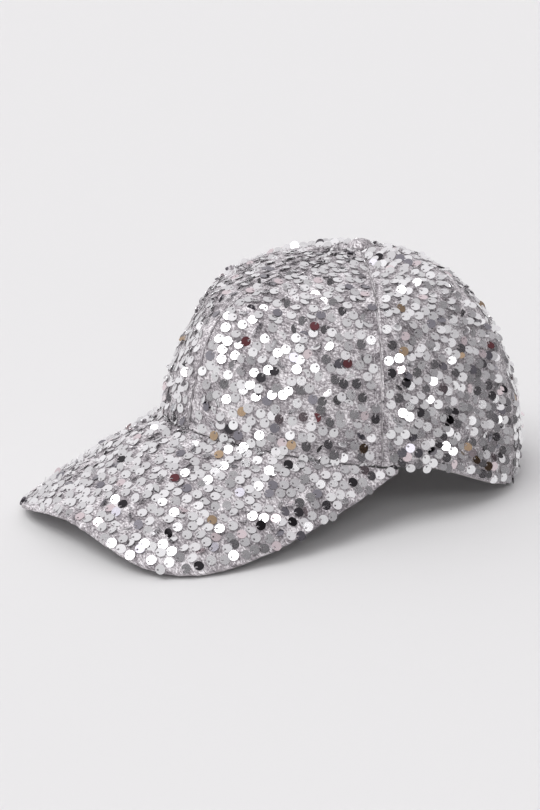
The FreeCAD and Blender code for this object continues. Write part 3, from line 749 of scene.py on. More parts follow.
def sequin_mesh(sides=16, hole_sides=8):
    """A thin disc with an off-centre hole."""
    shape = bmesh.new()
    loops = []
    for z in (FILM_THICK / 2, -FILM_THICK / 2):
        outer = [shape.verts.new((SEQUIN_RADIUS * math.sin(a), SEQUIN_RADIUS * math.cos(a) - HANG, z))
                 for a in np.arange(sides) / sides * 2 * math.pi]
        hole = [shape.verts.new((HOLE_RADIUS * math.sin(a), HOLE_RADIUS * math.cos(a), z))
                for a in np.arange(hole_sides) / hole_sides * 2 * math.pi]
        loops.append((outer, hole))
    for outer, hole in loops:
        for i in range(hole_sides):
            j, k = 2 * i, (2 * i + 2) % sides
            shape.faces.new((outer[j], outer[j + 1], hole[i]))
            shape.faces.new((outer[j + 1], outer[k], hole[(i + 1) % hole_sides], hole[i]))
    for ring in (0, 1):
        top, bottom = loops[0][ring], loops[1][ring]
        for i in range(len(top)):
            j = (i + 1) % len(top)
            shape.faces.new((top[i], top[j], bottom[j], bottom[i]))
    bmesh.ops.recalc_face_normals(shape, faces=shape.faces)
    mesh = bpy.data.meshes.new("sequin")
    shape.to_mesh(mesh)
    shape.free()
    return mesh


THREAD = 0.13 * MM                      # radius of the sewing thread


def stitch_mesh(name, length, rise, sides=5, steps=5):
    """A short arched stitch of thread along X."""
    shape = bmesh.new()
    rings = []
    for share in np.linspace(0, 1, steps):
        x, z = (share - 0.5) * length, rise * math.sin(share * math.pi)
        rings.append([shape.verts.new((x, THREAD * math.cos(a), z + THREAD * math.sin(a)))
                      for a in np.arange(sides) / sides * 2 * math.pi])
    for one, two in zip(rings, rings[1:]):
        for i in range(sides):
            j = (i + 1) % sides
            shape.faces.new((one[i], one[j], two[j], two[i]))
    shape.faces.new(rings[0][::-1])
    shape.faces.new(rings[-1])
    bmesh.ops.recalc_face_normals(shape, faces=shape.faces)
    mesh = bpy.data.meshes.new(name)
    shape.to_mesh(mesh)
    shape.free()
    mesh.shade_smooth()
    return mesh


def pattern_object(mesh):
    """An object that only lends its shape to the nodes."""
    made = bpy.data.objects.new(mesh.name, mesh)
    scene.collection.objects.link(made)
    made.hide_render = True
    return made


sequin = pattern_object(sequin_mesh())
TACK_LENGTH, TACK_RISE = 1.2 * MM, 0.2 * MM
TACK_PLACE = (0, 0.75 * MM, 0)          # over the film between the hole and the rim
STITCH_LENGTH, STITCH_RISE = 2.3 * MM, 0.22 * MM
tack_mesh = stitch_mesh("tack", TACK_LENGTH, TACK_RISE)
tack_mesh.transform(Matrix.Translation(TACK_PLACE) @ Matrix.Rotation(math.pi / 2, 4, "Z"))
tack = pattern_object(tack_mesh)
stitch = pattern_object(stitch_mesh("stitch", STITCH_LENGTH, STITCH_RISE))
print("one sequin has", len(sequin.data.polygons), "faces")

# %% [markdown]
# ## Sewing on the sequins
# Sequins are sewn in staggered rows on the flat cloth before it is cut. Geometry Nodes can do
# the same: a flat grid of points is pushed a little out of line, looked up on the cloth's
# "cloth" map, and dropped where it misses the piece or lies too close to the table.
# Each point then carries one sequin, turned
# so that it lies on the cloth and hangs the way its panel's pile runs. A random tilt, small for
# most and large for a few, makes each mirror look somewhere else, which is the whole glitter.

# %% The sewing tree
def value_in(tree, name, kind, default=None):
    """A named input of the tree."""
    made = tree.interface.new_socket(name, in_out="INPUT", socket_type="NodeSocket" + kind)
    if default is not None:
        made.default_value = default
    return made


def sewing_tree():
    """Scatters a shape in staggered rows over a cloth with a "cloth" map."""
    tree = bpy.data.node_groups.new("sewn_rows", "GeometryNodeTree")
    tree.interface.new_socket("Geometry", in_out="OUTPUT", socket_type="NodeSocketGeometry")
    for name, kind, default in (
            ("Geometry", "Geometry", None), ("Shape", "Object", None), ("Finish", "Material", None),
            ("Centre", "Vector", None), ("Width", "Float", 0.1), ("Height", "Float", 0.1),
            ("Columns", "Int", 10), ("Rows", "Int", 10), ("Stagger", "Float", 0.0),
            ("Row Gap", "Float", 0.005), ("Out Of Step", "Float", 0.001),
            ("Out Of Line", "Float", 0.001), ("Hang", "Vector", None),
            ("Slope", "Float", 0.15), ("Slope Spread", "Float", 0.1), ("Roll Spread", "Float", 0.1),
            ("Wild", "Float", 0.8), ("Turn", "Float", 0.3), ("Lift", "Float", 0.0004),
            ("Lift Spread", "Float", 0.0003), ("Lowest", "Float", 0.0), ("Seed", "Int", 1)):
        value_in(tree, name, kind, default)
    given = add(tree, "NodeGroupInput").outputs
    grid = add(tree, "GeometryNodeMeshGrid", {"Size X": given["Width"], "Size Y": given["Height"],
                                              "Vertices X": given["Columns"],
                                              "Vertices Y": given["Rows"]})
    place = add(tree, "GeometryNodeInputPosition").outputs[0]
    parts = add(tree, "ShaderNodeSeparateXYZ", {0: place})
    over = add(tree, "ShaderNodeMath", {0: parts.outputs[1], 1: given["Row Gap"]},
               operation="DIVIDE")
    row = add(tree, "ShaderNodeMath", {0: over.outputs[0]}, operation="ROUND")
    parity = add(tree, "ShaderNodeMath", {0: row.outputs[0], 1: 1.0}, operation="PINGPONG")
    odd = add(tree, "ShaderNodeMath", {0: parity.outputs[0], 1: given["Stagger"]},
              operation="MULTIPLY")
    picks = []
    for step in range(7):               # seven numbers between -1 and 1 for every point
        seed = add(tree, "ShaderNodeMath", {0: given["Seed"], 1: float(step)}, operation="ADD")
        pick = add(tree, "FunctionNodeRandomValue", {2: -1.0, 3: 1.0, 8: seed.outputs[0]},
                   data_type="FLOAT")
        picks.append(pick.outputs[1])
    across, upward, slope_pick, roll_pick, turn_pick, lift_pick, tint_and_reflection_pick = picks
    shaken = add(tree, "ShaderNodeMath", {0: across, 1: given["Out Of Step"],
                                          2: odd.outputs[0]}, operation="MULTIPLY_ADD")
    shifted = add(tree, "ShaderNodeMath", {0: upward, 1: given["Out Of Line"]},
                  operation="MULTIPLY")
    shake = add(tree, "ShaderNodeCombineXYZ", {0: shaken.outputs[0], 1: shifted.outputs[0]})
    moved = add(tree, "ShaderNodeVectorMath", {0: shake.outputs[0], 1: given["Centre"]},
                operation="ADD")
    laid = add(tree, "GeometryNodeSetPosition", {"Geometry": grid.outputs[0],
                                                 "Offset": moved.outputs[0]})
    points = add(tree, "GeometryNodeMeshToPoints", {"Mesh": laid.outputs[0]}).outputs[0]
    flat = add(tree, "GeometryNodeInputNamedAttribute", {"Name": "cloth"},
               data_type="FLOAT_VECTOR").outputs[0]
    facing = add(tree, "GeometryNodeInputNormal").outputs[0]
    looks = {}
    for name, field in (("sewn_at", place), ("faces", facing)):
        looks[name] = add(tree, "GeometryNodeSampleUVSurface", {
            "Mesh": given["Geometry"], "Value": field, "UV Map": flat, "Sample UV": place},
            data_type="FLOAT_VECTOR")
        points = add(tree, "GeometryNodeStoreNamedAttribute", {
            "Geometry": points, "Name": name, "Value": looks[name].outputs[0]},
            data_type="FLOAT_VECTOR", domain="POINT").outputs[0]
    found = looks["sewn_at"].outputs
    spot = add(tree, "ShaderNodeSeparateXYZ", {0: found["Value"]})
    clear = add(tree, "FunctionNodeCompare", {"A": spot.outputs[2], "B": given["Lowest"]},
                data_type="FLOAT", operation="GREATER_THAN")
    kept = add(tree, "FunctionNodeBooleanMath", {0: found["Is Valid"], 1: clear.outputs[0]},
               operation="AND")
    gone = add(tree, "FunctionNodeBooleanMath", {0: kept.outputs[0]}, operation="NOT")
    points = add(tree, "GeometryNodeDeleteGeometry", {"Geometry": points,
                                                      "Selection": gone.outputs[0]},
                 domain="POINT").outputs[0]
    read = [add(tree, "GeometryNodeInputNamedAttribute", {"Name": name},
                data_type="FLOAT_VECTOR").outputs[0] for name in ("sewn_at", "faces")]
    points = add(tree, "GeometryNodeSetPosition", {"Geometry": points,
                                                   "Position": read[0]}).outputs[0]
    upwards = add(tree, "ShaderNodeVectorMath", {0: given["Hang"], "Scale": -1.0},
                  operation="SCALE")
    lying = add(tree, "FunctionNodeAxesToRotation", {0: read[1], 1: upwards.outputs[0]},
                primary_axis="Z", secondary_axis="Y")
    leans = []
    for pick, usual in ((slope_pick, given["Slope Spread"]), (roll_pick, given["Roll Spread"])):
        far = add(tree, "ShaderNodeMath", {0: pick, 1: 7.0}, operation="POWER")
        wild = add(tree, "ShaderNodeMath", {0: far.outputs[0], 1: given["Wild"]},
                   operation="MULTIPLY")
        lean = add(tree, "ShaderNodeMath", {0: pick, 1: usual, 2: wild.outputs[0]},
                   operation="MULTIPLY_ADD")
        leans.append(lean.outputs[0])
    slope = add(tree, "ShaderNodeMath", {0: leans[0], 1: given["Slope"]}, operation="SUBTRACT")
    turn = add(tree, "ShaderNodeMath", {0: turn_pick, 1: given["Turn"]}, operation="MULTIPLY")
    angles = add(tree, "ShaderNodeCombineXYZ", {0: slope.outputs[0], 1: leans[1],
                                                2: turn.outputs[0]})
    own_turn = add(tree, "FunctionNodeEulerToRotation", {0: angles.outputs[0]})
    turned = add(tree, "FunctionNodeRotateRotation", {0: lying.outputs[0], 1: own_turn.outputs[0]},
                 rotation_space="LOCAL")
    shape = add(tree, "GeometryNodeObjectInfo", {"Object": given["Shape"], "As Instance": True})
    sewn = add(tree, "GeometryNodeInstanceOnPoints", {
        "Points": points, "Instance": shape.outputs["Geometry"], "Rotation": turned.outputs[0]})
    high = add(tree, "ShaderNodeMath", {0: lift_pick, 1: given["Lift Spread"], 2: given["Lift"]},
               operation="MULTIPLY_ADD")
    up = add(tree, "ShaderNodeCombineXYZ", {2: high.outputs[0]})
    raised = add(tree, "GeometryNodeTranslateInstances", {
        "Instances": sewn.outputs[0], "Translation": up.outputs[0], "Local Space": True})
    # this pick chooses each sequin's film tint and the painted reflection of dark and coloured
    # surroundings in its colour
    tint = add(tree, "ShaderNodeMath", {0: tint_and_reflection_pick, 1: 0.5, 2: 0.5}, operation="MULTIPLY_ADD")
    with_tint_and_reflection = add(tree, "GeometryNodeStoreNamedAttribute", {
        "Geometry": raised.outputs[0], "Name": "tint", "Value": tint.outputs[0]},
        data_type="FLOAT", domain="INSTANCE")
    real = add(tree, "GeometryNodeRealizeInstances", {"Geometry": with_tint_and_reflection.outputs[0]})
    done = add(tree, "GeometryNodeSetMaterial", {"Geometry": real.outputs[0],
                                                 "Material": given["Finish"]})
    add(tree, "NodeGroupOutput", {0: done.outputs[0]})
    return tree


sewn_rows = sewing_tree()
print("the sewing tree has", len(sewn_rows.nodes), "nodes")


def evaluated(host):
    """The mesh that an object's modifiers give; the object itself is removed."""
    graph = bpy.context.evaluated_depsgraph_get()
    mesh = bpy.data.meshes.new_from_object(host.evaluated_get(graph), depsgraph=graph)
    bpy.data.objects.remove(host)
    return mesh


def run_tree(tree, host_mesh, name, values):
    """Runs a tree on a mesh and returns the result as a plain mesh."""
    host = bpy.data.objects.new(name + "_host", host_mesh)
    scene.collection.objects.link(host)
    modifier = host.modifiers.new("nodes", "NODES")
    modifier.node_group = tree
    for item in tree.interface.items_tree:
        if item.in_out == "INPUT" and item.name in values:
            modifier[item.identifier] = values[item.name]
    mesh = evaluated(host)
    mesh.name = name
    return mesh


# %% [markdown]
# ## The covered button
# The button is a pressed metal cap with a disc of the same velvet gathered over it. The cloth
# is tight on top and falls into small pleats at the rim, where it is pushed under. It is turned
# like a bowl, from a profile, with a ripple that grows towards the rim.

# %% Covered button
BUTTON_SIDES = 72
PLEATS = 13
PLEAT = 0.28 * MM
BUTTON_SIDE_CLOTH, BUTTON_TOP_CLOTH = 0.7 * MM, 0.6 * MM    # thickness at the rim and on top
DOME_STRETCH = 1.15                     # flat cloth needed to cover the dome, against its shadow
button_low, button_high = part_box("button_cover")
button_radius = (button_high.x - button_low.x) / 2
crest, _, _, _ = tree_of("button_cover").ray_cast(WASHER + UP * 0.1, -UP, 0.1)
button_height = max((crest - v.co).dot(UP) for v in nodes["button_cover"].data.vertices)
seat = crest - UP * button_height
print("button", round(button_radius * 2 / MM, 1), "mm wide,", round(button_height / MM, 1), "high")


def turned_bowl(name, profile, sides, ripple):
    """A closed bowl turned round the button's axis; its profile starts and ends on the axis."""
    shape = bmesh.new()
    layer = shape.loops.layers.uv.new("cloth")
    rings = []
    for radius, height, share in profile:
        if radius < 1e-7:
            rings.append([shape.verts.new(seat + UP * height)])
            continue
        ring = []
        for turn in np.arange(sides) / sides * 2 * math.pi:
            swing = ripple * share * math.cos(PLEATS * turn + 1.3 * math.sin(2 * turn))
            away = bearing(turn) * (radius + swing)
            ring.append(shape.verts.new(seat + away + UP * height))
        rings.append(ring)
    for one, two in zip(rings, rings[1:]):
        for i in range(sides):
            j = (i + 1) % sides
            corners = [one[i % len(one)], one[j % len(one)], two[j % len(two)], two[i % len(two)]]
            corners = list(dict.fromkeys(corners))
            shape.faces.new(corners)
    bmesh.ops.recalc_face_normals(shape, faces=shape.faces)
    for face in shape.faces:
        for loop in face.loops:
            offset = loop.vert.co - seat
            loop[layer].uv = (offset.dot(RIGHT), offset.dot(BACK))
    mesh = bpy.data.meshes.new(name)
    shape.to_mesh(mesh)
    shape.free()
    mesh.shade_smooth()
    return mesh


dome = [(button_radius * math.sin(a), button_height * math.cos(a), (a / 1.57) ** 5)
        for a in np.linspace(0, math.pi / 2, 15)]
dome[0] = (0.0, button_height, 0.0)
tucked = [(button_radius * 0.965, -0.15 * MM, 0.9), (button_radius * 0.92, 0.0, 0.5)]
hollow_radius, hollow_height = button_radius - BUTTON_SIDE_CLOTH, button_height - BUTTON_TOP_CLOTH
hollow = [(hollow_radius * math.sin(a), hollow_height * math.cos(a), 0.0)
          for a in np.linspace(math.pi / 2.1, 0, 8)]
hollow[-1] = (0.0, hollow_height, 0.0)
piece("velvet_button", turned_bowl("button_cloth", dome + tucked + hollow, BUTTON_SIDES, PLEAT),
      velvet, replaced=["button_cover"])
rings = np.array([[list(seat + bearing(t) * r + UP * h) for t in np.linspace(0, 2 * math.pi, 33)]
                  for r, h, _ in dome[1:-2]])
spots = rings - np.array(seat)
spread = np.stack([spots @ np.array(RIGHT), spots @ np.array(BACK)], -1)
guides["button"] = (rings, spread * DOME_STRETCH)

# %% [markdown]
# ## The cap's inside
# Inside, a twill sweatband runs round the head, cotton tapes hide the seams and stiff buckram
# holds up the front. They are felt with the same rays, one column or one row at a time.

# %% Feeling for thin pieces
NEAR_AXIS = 8 * MM                      # points nearer to the axis have no steady bearing
FINE_STEP = math.radians(0.5)


def spread_of(name):
    """The bearing of a node's middle, and how far it reaches to each side."""
    turns = [azimuth_of(v.co) for v in nodes[name].data.vertices if off_axis(v.co) > NEAR_AXIS]
    middle = math.atan2(sum(map(math.sin, turns)), sum(map(math.cos, turns)))
    away = [(t - middle + math.pi) % (2 * math.pi) - math.pi for t in turns]
    return middle, min(away), max(away)


def height_span(tree, azimuth):
    """The lowest and highest elevation at which a piece is felt on one bearing."""
    tries = np.radians(np.arange(-45, 89, 0.5))
    good = [e for e in tries if felt(tree, azimuth, e)]
    low = edge_between(lambda e: felt(tree, azimuth, e), good[0], good[0] - FINE_STEP)
    high = edge_between(lambda e: felt(tree, azimuth, e), good[-1], good[-1] + FINE_STEP)
    return low, high


def filled(grid):
    """A grid with its few misses filled from their neighbours in the same row."""
    rows, width = len(grid), len(grid[0])
    flat = np.array([[p if p is not None else (np.nan,) * 3 for p in row] for row in grid], float)
    for i in range(rows):
        for k in range(3):
            line = flat[i, :, k]
            missing = np.isnan(line)
            if missing.all():
                line[:] = flat[i - 1, :, k]
            elif missing.any():
                line[missing] = np.interp(np.flatnonzero(missing), np.flatnonzero(~missing),
                                          line[~missing])
    return flat


def upright_skin(name, columns, rows):
    """A band-like piece, felt in upright columns."""
    tree = tree_of(name)
    middle, left, right = spread_of(name)
    left, right = (edge_between(lambda a: any(felt(tree, middle + a, math.radians(e))
                                              for e in range(-40, 30, 2)), end * 0.9, end * 1.02)
                   for end in (left, right))
    turns = middle + np.linspace(left * 0.999, right * 0.999, columns)
    spans = [height_span(tree, a) for a in turns]
    grid = [[felt(tree, a, low + (high - low) * share) for a, (low, high) in zip(turns, spans)]
            for share in np.linspace(0.004, 0.996, rows)]
    return filled(grid)


def level_skin(name, columns, rows):
    """A tall piece, felt in level rows from its middle outwards."""
    tree = tree_of(name)
    middle, left, right = spread_of(name)
    low, high = height_span(tree, middle)
    grid = []
    for e in np.linspace(low, high, rows):
        ends = [edge_between(lambda a: felt(tree, middle + a, e), 0.0, far * 1.1)
                for far in (left, right)]
        grid.append([felt(tree, middle + a, e) for a in np.linspace(*ends, columns)])
    return filled(grid)


def flat_of(grid):
    """A flat map of a small grid: lengths along its middle row and middle column."""
    rows, columns = grid.shape[:2]
    across = np.stack([along(row) - along(row)[columns // 2] for row in grid])
    upward = np.stack([along(grid[:, j]) for j in range(columns)], 1)
    return np.stack([across, upward], -1)


ROUNDED = 0.35                          # share of the thickness that is lost at a rounded edge


def thin_piece(name, new_name, skin, thick, material, bulge=None, body="cap"):
    """A closed sheet on a felt skin, rounded at its edges, that replaces a node."""
    out, flat = normals_of(skin), flat_of(skin)
    rows, columns = skin.shape[:2]
    rim = np.minimum(np.minimum(flat[..., 1], flat[-1:, :, 1] - flat[..., 1]),
                     np.minimum(flat[..., 0] - flat[:, :1, 0], flat[:, -1:, 0] - flat[..., 0]))
    fall = -thick * ROUNDED * np.exp(-(np.clip(rim, 0, 1) / (0.5 * thick)) ** 2)
    if bulge is not None:
        fall = fall + bulge(flat, rim)
    outer = skin + out * fall[..., None]
    inner = skin - out * (thick + fall)[..., None]
    outer, inner, flat = outward_grid(outer, inner, flat, out)
    return piece(new_name, cloth_mesh(new_name, outer, flat, inner), material, body=body,
                 replaced=[name])


# %% Sweatband, tapes, buckram, label
BAND_WAVE, BAND_WAVE_LENGTH = 0.35 * MM, 31 * MM
TAPE_RIB, TAPE_RIB_GAP = 0.12 * MM, 5.3 * MM


def band_folds(flat, rim):
    """The band is sewn along its lower edge and waves a little along its free one."""
    free = BAND_WAVE * flat[..., 1] / flat[..., 1].max()
    return free * np.sin(flat[..., 0] / BAND_WAVE_LENGTH * 2 * np.pi) - free


def tape_ribs(flat, rim):
    """A seam tape is a little fuller in the middle and along its two edges."""
    return TAPE_RIB * np.cos(flat[..., 0] / TAPE_RIB_GAP * 2 * np.pi)


thin_piece("sweatband", "twill_sweatband", upright_skin("sweatband", 331, 24), 1.0 * MM, twill,
           band_folds)
TAPES = [n for n in nodes if n.startswith("seam_tape")]
for name in sorted(TAPES):
    skin = level_skin(name, 13, 120)
    thin_piece(name, name.replace("seam_tape", "cotton_tape"), skin, 0.6 * MM, tape,
               tape_ribs)
for hand in ("left", "right"):
    thin_piece(f"front_buckram_{hand}", f"stiff_buckram_{hand}",
               level_skin(f"front_buckram_{hand}", 40, 60), 0.8 * MM, buckram)
thin_piece("care_label", "blank_label", upright_skin("care_label", 17, 23), 0.3 * MM, label)

# %% [markdown]
# ## The opening at the back
# A facing, a strip of tape bent into an arch, hides the cut edge of the opening. Its stations
# go up one leg, round the arch and down the other leg, and at each one its width is felt with
# rays shot straight from behind.

# %% Facing round the opening
facing = tree_of("opening_facing")
facing_points = [v.co - HUB for v in nodes["opening_facing"].data.vertices]
arch_half = max(abs(p.dot(RIGHT)) for p in facing_points)
arch_top = max(p.dot(UP) for p in facing_points)
arch_foot = min(p.dot(UP) for p in facing_points)
arch_level = arch_top - arch_half
INTO_FACING, PAST_FACING = 4 * MM, 8 * MM     # surely on the facing, and surely off it


def from_behind(x, z):
    """The facing's outer face at a place seen from behind, or None."""
    point, normal, _, _ = facing.ray_cast(cap_point(x, REACH, z), -BACK, REACH)
    return point if point is not None and normal.dot(BACK) > SLANTING else None


def station(centre_z, turn):
    """Points across the facing from the opening outwards, at one place of the arch."""
    def spot(radius):
        return from_behind(radius * math.cos(turn), centre_z + radius * math.sin(turn))
    start = arch_half - INTO_FACING
    near = edge_between(spot, start, start - PAST_FACING)
    far = edge_between(spot, start, start + PAST_FACING)
    return [spot(radius) for radius in np.linspace(near, far, 9)]


legs = np.linspace(arch_foot + 0.5 * MM, arch_level, 8)[:-1]
path = ([(z, 0.0) for z in legs] + [(arch_level, t) for t in np.linspace(0, math.pi, 90)]
        + [(z, math.pi) for z in legs[::-1]])
arch_grid = filled([station(z, t) for z, t in path])
thin_piece("opening_facing", "taped_facing", arch_grid, 0.8 * MM, tape)

# %% [markdown]
# ## Strap, tab and buckle
# The strap is velvet folded round a stiffener, so its faces swell between the rows of
# stitches. The tab is a loop of the same cloth round the buckle's bar: a fine voxel remesh of
# its plain shape gives it soft edges. The buckle is stamped metal, whose edges are tumbled
# round, so copies of its plain shapes get a narrow bevel that catches the light.

# %% Strap and tab
SWELL, SWELL_WIDTH = 0.25 * MM, 2.5 * MM
STRAP_ROW = 2.2 * MM                    # from the strap's edge to its stitches
ROW_WIDTH = 0.5 * MM


def strap_swell(flat, rim):
    """The strap is fuller between its two rows of stitches."""
    sunk = np.exp(-((rim - STRAP_ROW) / ROW_WIDTH) ** 2)
    return SWELL * (1 - np.exp(-(rim / SWELL_WIDTH) ** 2)) - SWELL * sunk


strap_skin = upright_skin("strap", 161, 25)
thin_piece("strap", "velvet_strap", strap_skin, 1.2 * MM, velvet, strap_swell)


def copied(name):
    """A copy of a frame node's mesh with its loose triangles joined."""
    shape = bmesh.new()
    shape.from_mesh(nodes[name].data)
    bmesh.ops.remove_doubles(shape, verts=shape.verts, dist=0.002 * MM)
    bmesh.ops.dissolve_limit(shape, angle_limit=math.radians(1), verts=shape.verts,
                             edges=shape.edges)
    return shape


def reshaped(name, new_name, chain):
    """A frame node's shape after a chain of modifiers, each a kind and its settings."""
    mesh = bpy.data.meshes.new(new_name)
    shape = copied(name)
    shape.to_mesh(mesh)
    shape.free()
    host = bpy.data.objects.new(new_name + "_host", mesh)
    scene.collection.objects.link(host)
    for kind, settings in chain:
        modifier = host.modifiers.new(kind.lower(), kind)
        for key, value in settings.items():
            setattr(modifier, key, value)
    made = evaluated(host)
    made.shade_smooth()
    return made


tab_mesh = reshaped("buckle_tab", "tab_cloth", [
    ("REMESH", {"mode": "VOXEL", "voxel_size": 0.35 * MM}),
    ("SMOOTH", {"factor": 0.5, "iterations": 4}),
])
layer = tab_mesh.uv_layers.new(name="cloth")
for loop in tab_mesh.loops:
    offset = tab_mesh.vertices[loop.vertex_index].co - HUB
    layer.data[loop.index].uv = (offset.dot(RIGHT), offset.dot(UP))
piece("velvet_tab", tab_mesh, velvet, replaced=["buckle_tab"])


# %% Buckle
def tumbled(name, new_name, bevel, body):
    """A frame shape with its sharp edges rounded."""
    made = reshaped(name, new_name, [("BEVEL", {
        "width": bevel, "segments": 3, "limit_method": "ANGLE",
        "angle_limit": math.radians(40), "use_clamp_overlap": True})])
    made.set_sharp_from_angle(angle=math.radians(50))
    return piece(new_name, made, chrome, body=body, replaced=[name])


tumbled("buckle_frame", "chrome_frame", 0.22 * MM, "cap")
tumbled("buckle_lever", "chrome_lever", 0.22 * MM, "buckle_lever")
tumbled("buckle_pin", "chrome_pin", 0.15 * MM, "cap")

# %% [markdown]
# ## Topstitching
# A row of stitches follows a line on the cloth. The line becomes a curve, the curve is cut into
# equal lengths, and a stitch is laid on each, along the curve and standing off the cloth.

# %% The stitching tree
def stitching_tree():
    """Lays a stitch at even steps along lines that carry their cloth's normal."""
    tree = bpy.data.node_groups.new("running_stitch", "GeometryNodeTree")
    tree.interface.new_socket("Geometry", in_out="OUTPUT", socket_type="NodeSocketGeometry")
    for name, kind, default in (("Geometry", "Geometry", None), ("Shape", "Object", None),
                                ("Finish", "Material", None), ("Step", "Float", 0.003),
                                ("Wobble", "Float", 0.05), ("Seed", "Int", 1)):
        value_in(tree, name, kind, default)
    given = add(tree, "NodeGroupInput").outputs
    curve = add(tree, "GeometryNodeMeshToCurve", {"Mesh": given["Geometry"]})
    steps = add(tree, "GeometryNodeResampleCurve", {"Curve": curve.outputs[0],
                                                    "Length": given["Step"]}, mode="LENGTH")
    normal = add(tree, "GeometryNodeInputNamedAttribute", {"Name": "out"},
                 data_type="FLOAT_VECTOR")
    tangent = add(tree, "GeometryNodeInputTangent")
    lying = add(tree, "FunctionNodeAxesToRotation", {0: normal.outputs[0], 1: tangent.outputs[0]},
                primary_axis="Z", secondary_axis="X")
    pick = add(tree, "FunctionNodeRandomValue", {2: -1.0, 3: 1.0, 8: given["Seed"]},
               data_type="FLOAT")
    wobble = add(tree, "ShaderNodeMath", {0: pick.outputs[1], 1: given["Wobble"]},
                 operation="MULTIPLY")
    askew = add(tree, "ShaderNodeCombineXYZ", {2: wobble.outputs[0]})
    own_turn = add(tree, "FunctionNodeEulerToRotation", {0: askew.outputs[0]})
    turned = add(tree, "FunctionNodeRotateRotation", {0: lying.outputs[0], 1: own_turn.outputs[0]},
                 rotation_space="LOCAL")
    shape = add(tree, "GeometryNodeObjectInfo", {"Object": given["Shape"], "As Instance": True})
    laid = add(tree, "GeometryNodeInstanceOnPoints", {
        "Points": steps.outputs[0], "Instance": shape.outputs["Geometry"],
        "Rotation": turned.outputs[0]})
    real = add(tree, "GeometryNodeRealizeInstances", {"Geometry": laid.outputs[0]})
    done = add(tree, "GeometryNodeSetMaterial", {"Geometry": real.outputs[0],
                                                 "Material": given["Finish"]})
    add(tree, "NodeGroupOutput", {0: done.outputs[0]})
    return tree


running_stitch = stitching_tree()
print("the stitching tree has", len(running_stitch.nodes), "nodes")


def line_mesh(name, lines):
    """Lines of (points, normals) as loose edges that carry their normals."""
    points, outs, edges = [], [], []
    for spots, normals in lines:
        start = len(points)
        points += [tuple(p) for p in spots]
        outs += [tuple(n) for n in normals]
        edges += [(start + i, start + i + 1) for i in range(len(spots) - 1)]
    mesh = bpy.data.meshes.new(name)
    mesh.from_pydata(points, edges, [])
    layer = mesh.attributes.new("out", "FLOAT_VECTOR", "POINT")
    layer.data.foreach_set("vector", np.array(outs, np.float32).ravel())
    return mesh


def line_at(grid, out, distance, wanted, axis, raised=0.1 * MM):
    """The line of a grid where `distance` has the wanted value, along the other axis."""
    if axis == 0:
        grid, out, distance = (np.swapaxes(x, 0, 1) for x in (grid, out, distance))
    points, normals = [], []
    for spots, ways, far in zip(grid, out, distance):
        order = np.argsort(far)
        if not far.min() <= wanted <= far.max():
            continue
        points.append([np.interp(wanted, far[order], spots[order, k]) for k in range(3)])
        normals.append([np.interp(wanted, far[order], ways[order, k]) for k in range(3)])
    points, normals = np.array(points), np.array(normals)
    return points + normals * raised, normals


# %% Stitches on seams, visor and strap
SEAM_STITCH = 3.0 * MM                  # topstitching beside a seam
STITCH_STEP = 3.1 * MM
MOST_CHANNELS = 8
CHANNEL_SHIFT = 0.75                    # the first row, in channels from the visor's edge
STRAP_TOP_ROW = 2.4 * MM


def stitched(name, lines, seed):
    """Stitches along lines, as one piece."""
    values = {"Shape": stitch, "Finish": thread, "Step": STITCH_STEP, "Seed": seed}
    mesh = run_tree(running_stitch, line_mesh(name + "_lines", lines), name, values)
    return piece(name, mesh, thread)


lines = []
for outer, out, seams, foot in seam_rows:
    lines += [line_at(outer, out, seam, SEAM_STITCH, 1) for seam in seams]
    lines.append(line_at(outer, out, foot, SEAM_STITCH, 0))
stitched("seam_topstitching", lines, 3)
channels = [line_at(fan_face, under_out, from_edge, (k + CHANNEL_SHIFT) * CHANNEL, 0)
            for k in range(MOST_CHANNELS)]
channels = [line for line in channels if len(line[0]) > 4]
print(len(channels), "rows of stitches under the visor")
stitched("visor_stitching", channels, 4)
strap_out, strap_flat = normals_of(strap_skin), flat_of(strap_skin)
edges = [line_at(strap_skin, strap_out, strap_flat[..., 1], wanted, 0)
         for wanted in (STRAP_ROW, strap_flat[..., 1].max() - STRAP_TOP_ROW)]
stitched("strap_stitching", edges, 5)

# %% [markdown]
# The rows are 4.7 mm apart and the sequins 5.4 mm apart along them, a little more than a
# sequin's own 4.5 mm. Every point is pushed out of line, so some sequins overlap and velvet
# shows between others. Each panel has its own direction of hang, because it was cut from the
# cloth at its own angle, and on the sides and the visor the rows themselves are turned. The
# thread that holds a sequin is a tack from its hole to its rim, at the same points.

# %% Sequins on every piece
ROW_GAP = 4.7 * MM
COLUMN_GAP = 5.4 * MM
towards_front = -BACK * 0.45
HANGS = {
    "crown_panel_front_left": -UP - RIGHT * 0.45 + towards_front,
    "crown_panel_side_left": BACK * 0.6 - UP,
    "crown_panel_back_left": -UP + BACK * 0.2,
    "crown_panel_front_right": -UP + RIGHT * 0.45 + towards_front,
    "crown_panel_side_right": BACK * 0.6 - UP,
    "crown_panel_back_right": -UP + BACK * 0.2,
    "visor": BACK + RIGHT * 0.25,
    "button": -BACK - UP * 0.3,
}
SLOPES = {"crown_panel_side_left": 30, "crown_panel_side_right": 30, "visor": 6}
ROW_TURNS = {"crown_panel_side_left": -24, "crown_panel_side_right": 24, "visor": 8}
CLEAR_OF_FLOOR = 3.9 * MM               # nothing is sewn on lower than this
USUAL_SLOPE = 7                         # degrees between a hanging sequin and its cloth
SLOPE_SPREAD, ROLL_SPREAD, TURN = math.radians(8), math.radians(10), math.radians(32)
WILD = math.radians(44)                 # the tilt of the few that stick out most
LIFT, LIFT_SPREAD = 0.6 * MM, 0.2 * MM
OUT_OF_STEP = 1.6 * MM
total = 0
